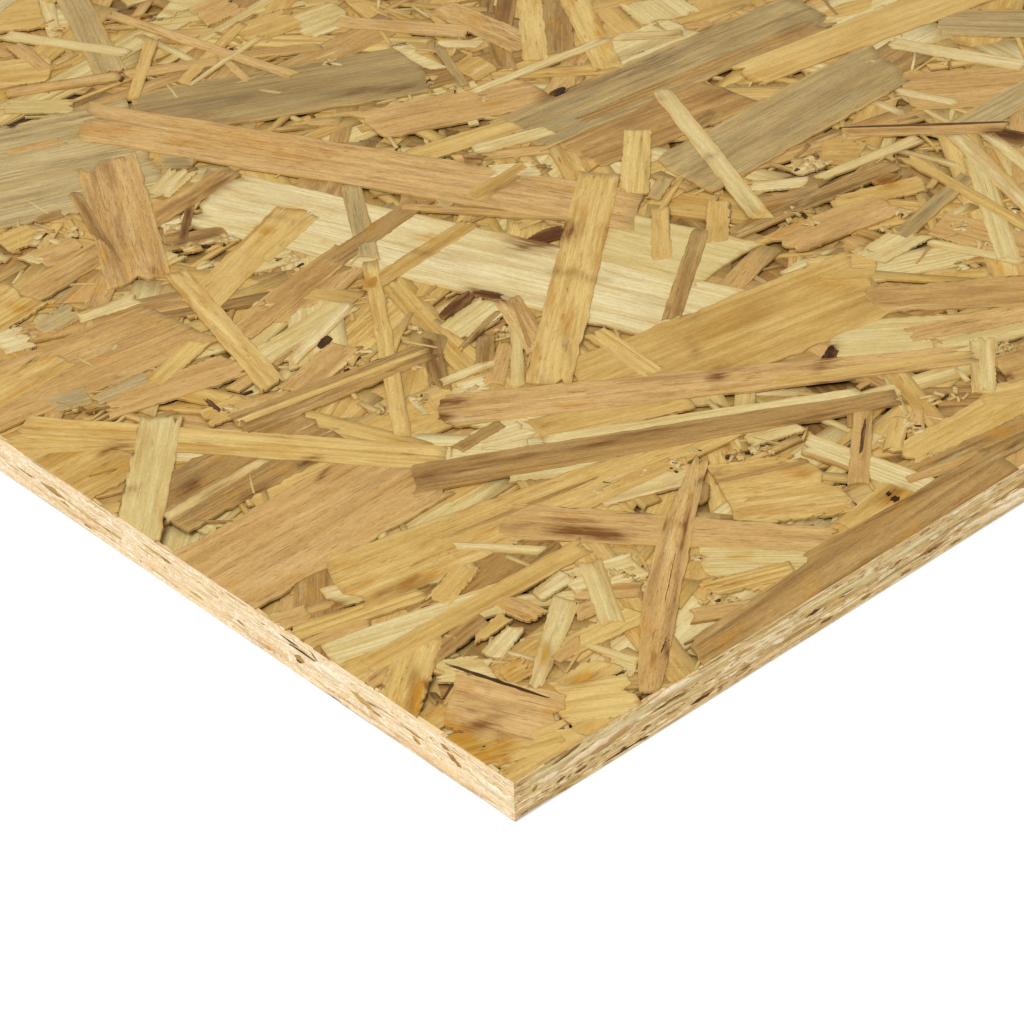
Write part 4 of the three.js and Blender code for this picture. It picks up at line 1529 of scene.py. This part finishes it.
@dataclass(frozen=True)
class Faces:
    """The two faces of the sheet: strands dropped at random, and listed one by one round the near corner."""

    sheet: Sheet
    view: Viewpoint
    spreader: Spreader
    broad_mm: float = 9.0  # strands wider than this are cut finer
    slim_mm: float = 5.0  # the same, of the listed ones
    corner_mm: tuple[float, float] = (420.0, 460.0)  # how far the corner of listed strands reaches
    seeds: tuple[int, int, int] = (11, 12, 14)
    deep: Blank = Blank(2, 1)
    filler: Blank = Blank(5, 3)
    broad: Blank = Blank(4, 2)
    seen_broad: Blank = Blank(30, 12)
    seen_slim: Blank = Blank(16, 4)
    crumb: Blank = Blank(3, 1)

    def _by_width(self, strands: list[Strand], limit: float, broad: Blank, slim: Blank) -> list:
        """Sorts strands into lots by how finely they are cut."""
        wide = [strand for strand in strands if strand.width > limit]
        return [(wide, broad), ([strand for strand in strands if strand.width <= limit], slim)]

    def _dropped(self, name: str, upward: bool, seed: int) -> list[Piece]:
        """Builds the pieces of one face whose strands lie at random.

        Args:
            name: what the pieces' names start with.
            upward: whether it is the upper face.
            seed: of its random numbers.

        Returns:
            One piece for each bay of the sheet's length.
        """
        draw = np.random.default_rng(seed)
        base, large, small = (self.spreader.drop(load, draw) for load in FACE_LOADS)
        strands, lots = large + small, []
        if upward:
            area = (0.0, self.corner_mm[0], 0.0, self.corner_mm[1])
            near = (self.spreader.drop(load, draw, area) for load in CORNER_LOADS)
            under, fill, bits, fine = ([s for s in some if self.view.sees(s, self.sheet)] for some in near)
            strands = [strand for strand in strands if not self.view.sees(strand, self.sheet)]
            base, lots = base + under, [(fill, self.filler), (bits + fine, self.deep)]
        lots = [(base, self.deep), *lots, *self._by_width(strands, self.broad_mm, self.broad, self.deep)]
        return StrandMat(self.sheet, name, upward).build(lots, draw)

    def _by_sight(self, seed: int) -> list[Piece]:
        """Builds the strands round the near corner, their stains, and the crumbs between them.

        Args:
            seed: of their random numbers.

        Returns:
            The piece, in a list.
        """
        draw = np.random.default_rng(seed)
        laid = [self.view.lay(seen, self.sheet) for seen in BY_SIGHT]
        crumbs = []
        for nest in NESTS:
            crumbs += self.spreader.fill(*self.view.find(nest, self.sheet), nest.storey, draw)
        stains, resins = (
            tuple(self.view.soak(stain, self.sheet) for stain in STAINS if stain.resin is resin)
            for resin in (False, True)
        )
        lots = [*self._by_width(laid, self.slim_mm, self.seen_broad, self.seen_slim), (crumbs, self.crumb)]
        mat = StrandMat(self.sheet, "face_corner", True, stains=stains, resins=resins, bays=1)
        return mat.build(lots, draw)

    def build(self) -> list[Piece]:
        """Builds the pieces of both faces.

        Returns:
            The lower face's pieces, the upper face's and the corner's.
        """
        lower, upper, corner = self.seeds
        made = self._dropped("face_down", False, lower) + self._dropped("face_up", True, upper)
        return made + self._by_sight(corner)


@dataclass(frozen=True)
class Bed:
    """The pressed middle of the sheet: its sawn sides, and the bottom of the hollows in its faces.

    Its rim stands higher than the rest, as the saw cut is closed almost up to the faces.
    """

    sheet: Sheet
    below: float = 2.3  # mm from each face
    inset: float = 0.03  # mm from each side
    rim_below: float = 0.42  # mm from each face, of the rim
    rim_width: float = 0.9
    hollow_shade_tone: float = -0.7  # of the bottom of the hollows: painted shade of the deep hollows
    off_rim: float = 1.0  # mm, so that no rim shows on it
    steep: float = 0.5  # how far a face's normal leans to an axis where the face crosses it

    def build(self) -> Piece:
        """Builds the bed as one slab with a raised rim.

        Returns:
            The piece.
        """
        shape = bmesh.new()
        whole = Vector((self.sheet.length, self.sheet.width, self.sheet.thickness))
        size = whole - 2 * Vector((self.inset, self.inset, self.rim_below))
        bmesh.ops.create_cube(shape, size=1.0)
        bmesh.ops.scale(shape, verts=shape.verts, vec=size * MM)
        bmesh.ops.translate(shape, verts=shape.verts, vec=Vector(self.sheet.corner) + whole * (MM / 2))
        level = [face for face in shape.faces if abs(face.normal.z) > self.steep]
        bmesh.ops.inset_individual(
            shape, faces=level, thickness=self.rim_width * MM, depth=(self.rim_below - self.below) * MM
        )
        mesh = bpy.data.meshes.new("pressed_bed")
        shape.to_mesh(mesh)
        shape.free()
        grain, tone = [], []
        for face in mesh.polygons:
            along, across, wood = self._run(face.normal)
            face.material_index = wood.value
            for vertex in face.vertices:
                place = mesh.vertices[vertex].co / MM
                grain += (place[along], place[across], float(along + across))
                # The level faces, the bottom of the hollows, are darkened as painted shade.
                tone.append(self.hollow_shade_tone if wood is Wood.PINE else 0.0)
        add_attribute(mesh, "grain", "FLOAT_VECTOR", "CORNER", grain)
        add_attribute(mesh, "tone", "FLOAT", "CORNER", tone)
        add_attribute(mesh, "rim", "FLOAT", "CORNER", [self.off_rim] * len(tone))
        return dressed(mesh)

    def _run(self, normal: Vector) -> tuple[int, int, Wood]:
        """Tells how the grain runs on a side of the bed.

        Args:
            normal: the side's normal.

        Returns:
            The axes along and across the grain, and the wood that it shows.
        """
        if abs(normal.x) > self.steep:
            return 1, 2, Wood.END
        if abs(normal.y) > self.steep:
            return 0, 2, Wood.SAWN
        return 0, 1, Wood.PINE


@dataclass(frozen=True)
class SawnSide:
    """One sawn side of the sheet: the cut sections of its strands, in layers that rise and fall."""

    sheet: Sheet
    name: str
    along: int  # axis that the side runs along
    far: bool  # whether it lies on the sheet's far side
    woods: tuple  # shares, in the order of Wood
    mottle: float  # how much the sections differ in tone
    lengths: tuple[float, float]  # shortest and longest section, in mm
    fine_to: float = 0.0  # how far from the near corner the sections are at their finest
    placed: tuple[Section, ...] = ()  # sections that are listed one by one
    heights: tuple[float, float] = (0.35, 0.8)
    cover: float = 1.5  # sections over any one point
    fill: float = 0.8  # how much of its length and height a section's lens fills
    lip: float = 0.45  # mm from the upper face, which the face strands' own cut ends fill
    foot: float = 0.06  # mm from the lower face
    depth: float = 0.9  # how far a section goes in
    behind: float = 0.004  # mm behind the saw cut, of the foremost section
    recess: float = 0.024  # and how much further back the hindmost lies
    recess_power: float = 1.5  # how many of them lie near the cut
    slope: float = 0.1  # how far a section rises, in mm
    wander: float = 0.35  # how far the layers rise and fall
    calm: tuple[float, float] = (1.5, 0.2)  # mm from a face over which they do, and the share that don't
    loose: float = 0.4  # share of sections with a dark joint round them
    past: float = 0.12  # share of the height past either face that layers are drawn over
    bulge: tuple[float, float] = (1.2, 3.5)  # how square a section's lens is
    thinnest: float = 0.1  # share of its height at its ends, before the power that follows
    lens_power: float = 1.3
    rolled_in: float = 0.01  # mm that its rims lie further in
    roll_power: int = 4
    rough: tuple[float, float] = (0.6, 1.25)  # how much thinner or thicker it is here and there
    ends_in: tuple[float, float] = (0.004, 0.028)  # mm, so that no two end in one plane at a corner
    shortest: float = 0.1
    waves: tuple = ((3.1, 0.4), (6.7, 1.9), (15.0, 3.3))  # of the layers: mm a radian, and phase
    lag: float = 0.35  # radians that each mm of height adds to the phase
    coarse: float = 2.2  # scale of the sections far from the near corner
    blanks: tuple[Blank, Blank, Blank] = (Blank(4, 1), Blank(10, 2), Blank(2, 1))  # fine, placed, coarse

    @property
    def size(self) -> tuple[float, float]:
        """How long the side is, and how far the two sides that run this way lie apart."""
        return (self.sheet.length, self.sheet.width)[:: 1 - 2 * self.along]

    def scattered(self, start: float, stop: float, draw: Draw, scale: float = 1.0) -> list[Section]:
        """Draws the sections of one stretch of the side.

        Args:
            start: where the stretch begins along the side, in mm.
            stop: where it ends.
            draw: the source of the random numbers.
            scale: of the sections, coarser where they are seen from further off.

        Returns:
            The sections.
        """
        short, most = (size * scale for size in self.lengths)
        thin, thick = (size * scale**0.5 for size in self.heights)
        band = self.sheet.thickness - self.lip - self.foot
        mean = (short + most) / 2 * (thin + thick) / 2 * self.fill
        n = int(self.cover * (stop - start) * band / mean)
        tall = draw.uniform(thin, thick, n)
        up = draw.uniform(-self.past, 1 + self.past, n).clip(0, 1) * (band - tall) + self.foot + tall / 2
        middle = draw.uniform(start - short, stop + short, n)
        long = short * (most / short) ** draw.uniform(0, 1, n)
        wood = draw.choice(len(self.woods), n, p=self.woods)
        tone = draw.normal(0, self.mottle, n)
        slope = draw.normal(0, self.slope, n)
        back = self.behind + draw.uniform(0, 1, n) ** self.recess_power * self.recess
        tight = draw.uniform(0, 1, n) > self.loose
        rest = (column.tolist() for column in (tone, slope, back, tight))
        kinds = (Wood(int(number)) for number in wood)
        places = zip(middle.tolist(), up.tolist())
        return [Section(*values) for values in zip(places, long.tolist(), tall.tolist(), kinds, *rest)]

    def shapes(self, sections: list[Section], blank: Blank, draw: Draw) -> dict:
        """Lays sections as moved copies of one blank.

        Args:
            sections: the sections, all cut to this blank.
            blank: the blank they are cut to.
            draw: the source of their small differences.

        Returns:
            Arrays for joined().
        """
        cut, n = blank.cut(flip=(self.along == 1) != self.far), len(sections)
        length, apart = self.size
        middle, layer = (np.array([s.middle[i] for s in sections])[:, None] for i in range(2))
        long, tall, tone, slope, back, tight = (
            np.array([getattr(s, key) for s in sections], float)[:, None]
            for key in ("long", "tall", "tone", "slope", "back", "tight")
        )
        s, t, down = (cut["points"][None, :, i] for i in range(3))
        short = draw.uniform(*self.ends_in, (n, 1))
        start = np.clip(middle - long / 2, short, length - short - 2 * self.shortest)
        stop = np.maximum(np.minimum(middle + long / 2, length - short), start + self.shortest)
        run = start + s * (stop - start)
        bulge = 1 - np.abs(2 * s - 1) ** draw.uniform(*self.bulge, (n, 1))
        lens = np.clip(bulge, self.thinnest, 1) ** self.lens_power
        rough = draw.uniform(*self.rough, (n, blank.rows + 1, 2))
        row = np.rint(s[0] * blank.rows).astype(int)
        lens = lens * np.where(t > 0, rough[:, row, 1], rough[:, row, 0])
        top = self.sheet.thickness - self.lip
        wave = sum(np.sin(run / mm + layer * self.lag + phase) for mm, phase in self.waves)
        free = np.minimum(layer - self.foot, top - layer) / self.calm[0] - self.calm[1]
        lift = wave / len(self.waves) * self.wander * np.clip(free, 0, 1)
        z = (layer + t * tall / 2 * lens + (s - 0.5) * slope + lift).clip(self.foot, top)
        inward = back - down * self.depth + self.rolled_in * np.abs(t) ** self.roll_power
        face = apart - inward if self.far else inward
        points = [run, face, z] if self.along == 0 else [face, run, z]
        seed = np.broadcast_to(draw.uniform(0, SEEDS, (n, 1)), z.shape)
        wood = np.array([section.wood.value for section in sections])[:, None]
        even = np.zeros_like(z)
        return {
            **cut,
            "points": np.stack(points, -1),
            "grain": np.stack([run, z - layer + inward * 2, seed], -1),
            "tone": tone + even,
            "rim": (1 - np.abs(t)) * tall / 2 + tight + even,
            "stain": even,
            "resin": even,
            "wood": np.where(cut["top"][None, :], wood, Wood.SAWN.value),
            "level": -back[:, 0],
        }

    def build(self, draw: Draw) -> list[Piece]:
        """Builds the side, in halves where it is long.

        Args:
            draw: the source of the random numbers.

        Returns:
            Its pieces, the near one first.
        """
        halves = 1 if self.along else 2
        fine, placed, coarse = self.blanks
        made = []
        for half in range(halves):
            start, stop = (self.size[0] * (half + i) / halves for i in range(2))
            lots = []
            if half == 0 and self.fine_to:
                lots.append(self.shapes(self.scattered(start, self.fine_to, draw), fine, draw))
                lots.append(self.shapes(self.placed, placed, draw))
                start = self.fine_to
            lots.append(self.shapes(self.scattered(start, stop, draw, self.coarse), coarse, draw))
            mesh = joined(f"{self.name}_{half + 1}" if halves > 1 else self.name, lots, self.sheet)
            mesh.attributes.remove(mesh.attributes["level"])
            made.append(dressed(mesh))
        return made


@dataclass(frozen=True)
class Sides:
    """The four sawn sides of the sheet."""

    sheet: Sheet
    view: Viewpoint
    mottles: tuple[float, float] = (0.2, 0.4)  # of the sides with ends, and of those with sections
    fine_to: tuple[float, float] = (175.0, 160.0)
    end_lengths: tuple[float, float] = (3.0, 14.0)
    side_lengths: tuple[float, float] = (4.0, 30.0)
    far_side_lengths: tuple[float, float] = (8.0, 50.0)
    seed: int = 13

    def build(self) -> list[Piece]:
        """Builds the pieces of all four sides.

        Returns:
            The pieces, both ends before the long sides.
        """
        draw = np.random.default_rng(self.seed)
        made = []
        for name, along, woods, near_lengths, far_lengths, seen in (
            ("sawn_end", 1, ENDS, self.end_lengths, self.end_lengths, NEAR_END),
            ("sawn_side", 0, SIDES, self.side_lengths, self.far_side_lengths, NEAR_SIDE),
        ):
            mottle, fine_to = self.mottles[1 - along], self.fine_to[1 - along]
            placed = tuple(self.view.show(section, along) for section in seen)
            far = SawnSide(self.sheet, f"{name}_far", along, True, woods, mottle, far_lengths)
            near = replace(far, name=f"{name}_near", far=False, lengths=near_lengths)
            near = replace(near, fine_to=fine_to, placed=placed)
            made += near.build(draw) + far.build(draw)
        return made


@dataclass(frozen=True)
class Studio:
    """Floor and light. Lengths in metres."""

    sheet: Sheet
    floor_size: float = 20.0
    floor_drop: float = 0.0002  # below the sheet's lower face
    floor_colour: str = "#f4f4f4"
    floor_roughness: float = 0.9
    floor_glow: float = 0.22  # lifts the floor to white
    dome: float = 0.7  # strength of the even light, against the white backdrop's 1
    aim_mm: tuple[float, float, float] = (120.0, 120.0, 0.0)  # what the key lights, from the near corner
    key_off: tuple[float, float, float] = (-1.5, -0.5, 2.2)  # where it stands from there
    key_size: float = 1.6
    key_watts: float = 42.0

    def floor(self) -> Piece:
        """Builds a pale floor that shows white to the camera and keeps the sheet's shadow.

        Returns:
            The floor.
        """
        shape = bmesh.new()
        bmesh.ops.create_grid(shape, x_segments=1, y_segments=1, size=self.floor_size)
        low = self.sheet.corner[2] - self.floor_drop
        bmesh.ops.translate(shape, verts=shape.verts, vec=(0, 0, low))
        mesh = bpy.data.meshes.new("floor")
        shape.to_mesh(mesh)
        shape.free()
        paint = bpy.data.materials.new("white_floor")
        paint.use_nodes = True
        tree = paint.node_tree
        shader = tree.nodes["Principled BSDF"]
        shader.inputs["Base Color"].default_value = linear(self.floor_colour)
        shader.inputs["Roughness"].default_value = self.floor_roughness
        rays = add_node(tree, "LightPath").node.outputs
        seen = add_node(tree, "Math", (rays["Is Camera Ray"], rays["Is Glossy Ray"]), operation="MAXIMUM")
        lift = add_node(tree, "Math", (seen, self.floor_glow), operation="MULTIPLY")
        shader.inputs["Emission Color"].default_value = WHITE
        tree.links.new(lift, shader.inputs["Emission Strength"])
        mesh.materials.append(paint)
        made = add_object("floor", mesh)
        return made

    def lights(self) -> None:
        """A large soft key from the left and an even dome."""
        world = bpy.data.worlds.new("studio")
        bpy.context.scene.world = world
        world.use_nodes = True
        tree = world.node_tree
        sky = tree.nodes["Background"]
        sky.inputs["Color"].default_value = WHITE
        seen = add_node(tree, "LightPath", output="Is Camera Ray")
        terms = (seen, 1.0 - self.dome, self.dome)
        tree.links.new(add_node(tree, "Math", terms, operation="MULTIPLY_ADD"), sky.inputs["Strength"])
        target = Vector(self.sheet.corner) + Vector(self.aim_mm) * MM
        key = bpy.data.lights.new("key", "AREA")
        key.shape, key.size, key.energy = "DISK", self.key_size, self.key_watts
        spot = target + Vector(self.key_off)
        aim = (target - spot).to_track_quat("-Z", "Y").to_matrix().to_4x4()
        add_object("key", key, Matrix.Translation(spot) @ aim)

    def build(self) -> None:
        """Sets up the whole studio."""
        self.floor()
        self.lights()
        bpy.context.scene.view_settings.view_transform = "Standard"


def report(pieces: list[Piece], log: logging.Logger) -> None:
    """Logs the triangles of each piece and of all together.

    Args:
        pieces: the sheet's pieces.
        log: where the lines go.
    """
    total = 0
    for piece in pieces:
        piece.data.calc_loop_triangles()
        total += len(piece.data.loop_triangles)
        log.info("%s: %d triangles", piece.name, len(piece.data.loop_triangles))
    log.info("all: %d triangles", total)


def main() -> None:
    """Builds the sheet and its studio, and reports each piece."""
    logging.basicConfig(level=logging.INFO, format="%(message)s")
    log = logging.getLogger("sheet")
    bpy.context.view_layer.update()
    sheet = Sheet.from_frame()
    view = Viewpoint()
    view.build(sheet)
    Studio(sheet).build()
    pieces = [Bed(sheet).build()]
    pieces += Faces(sheet, view, Spreader(sheet)).build()
    pieces += Sides(sheet, view).build()
    report(pieces, log)


if __name__ == "__main__":
    main()
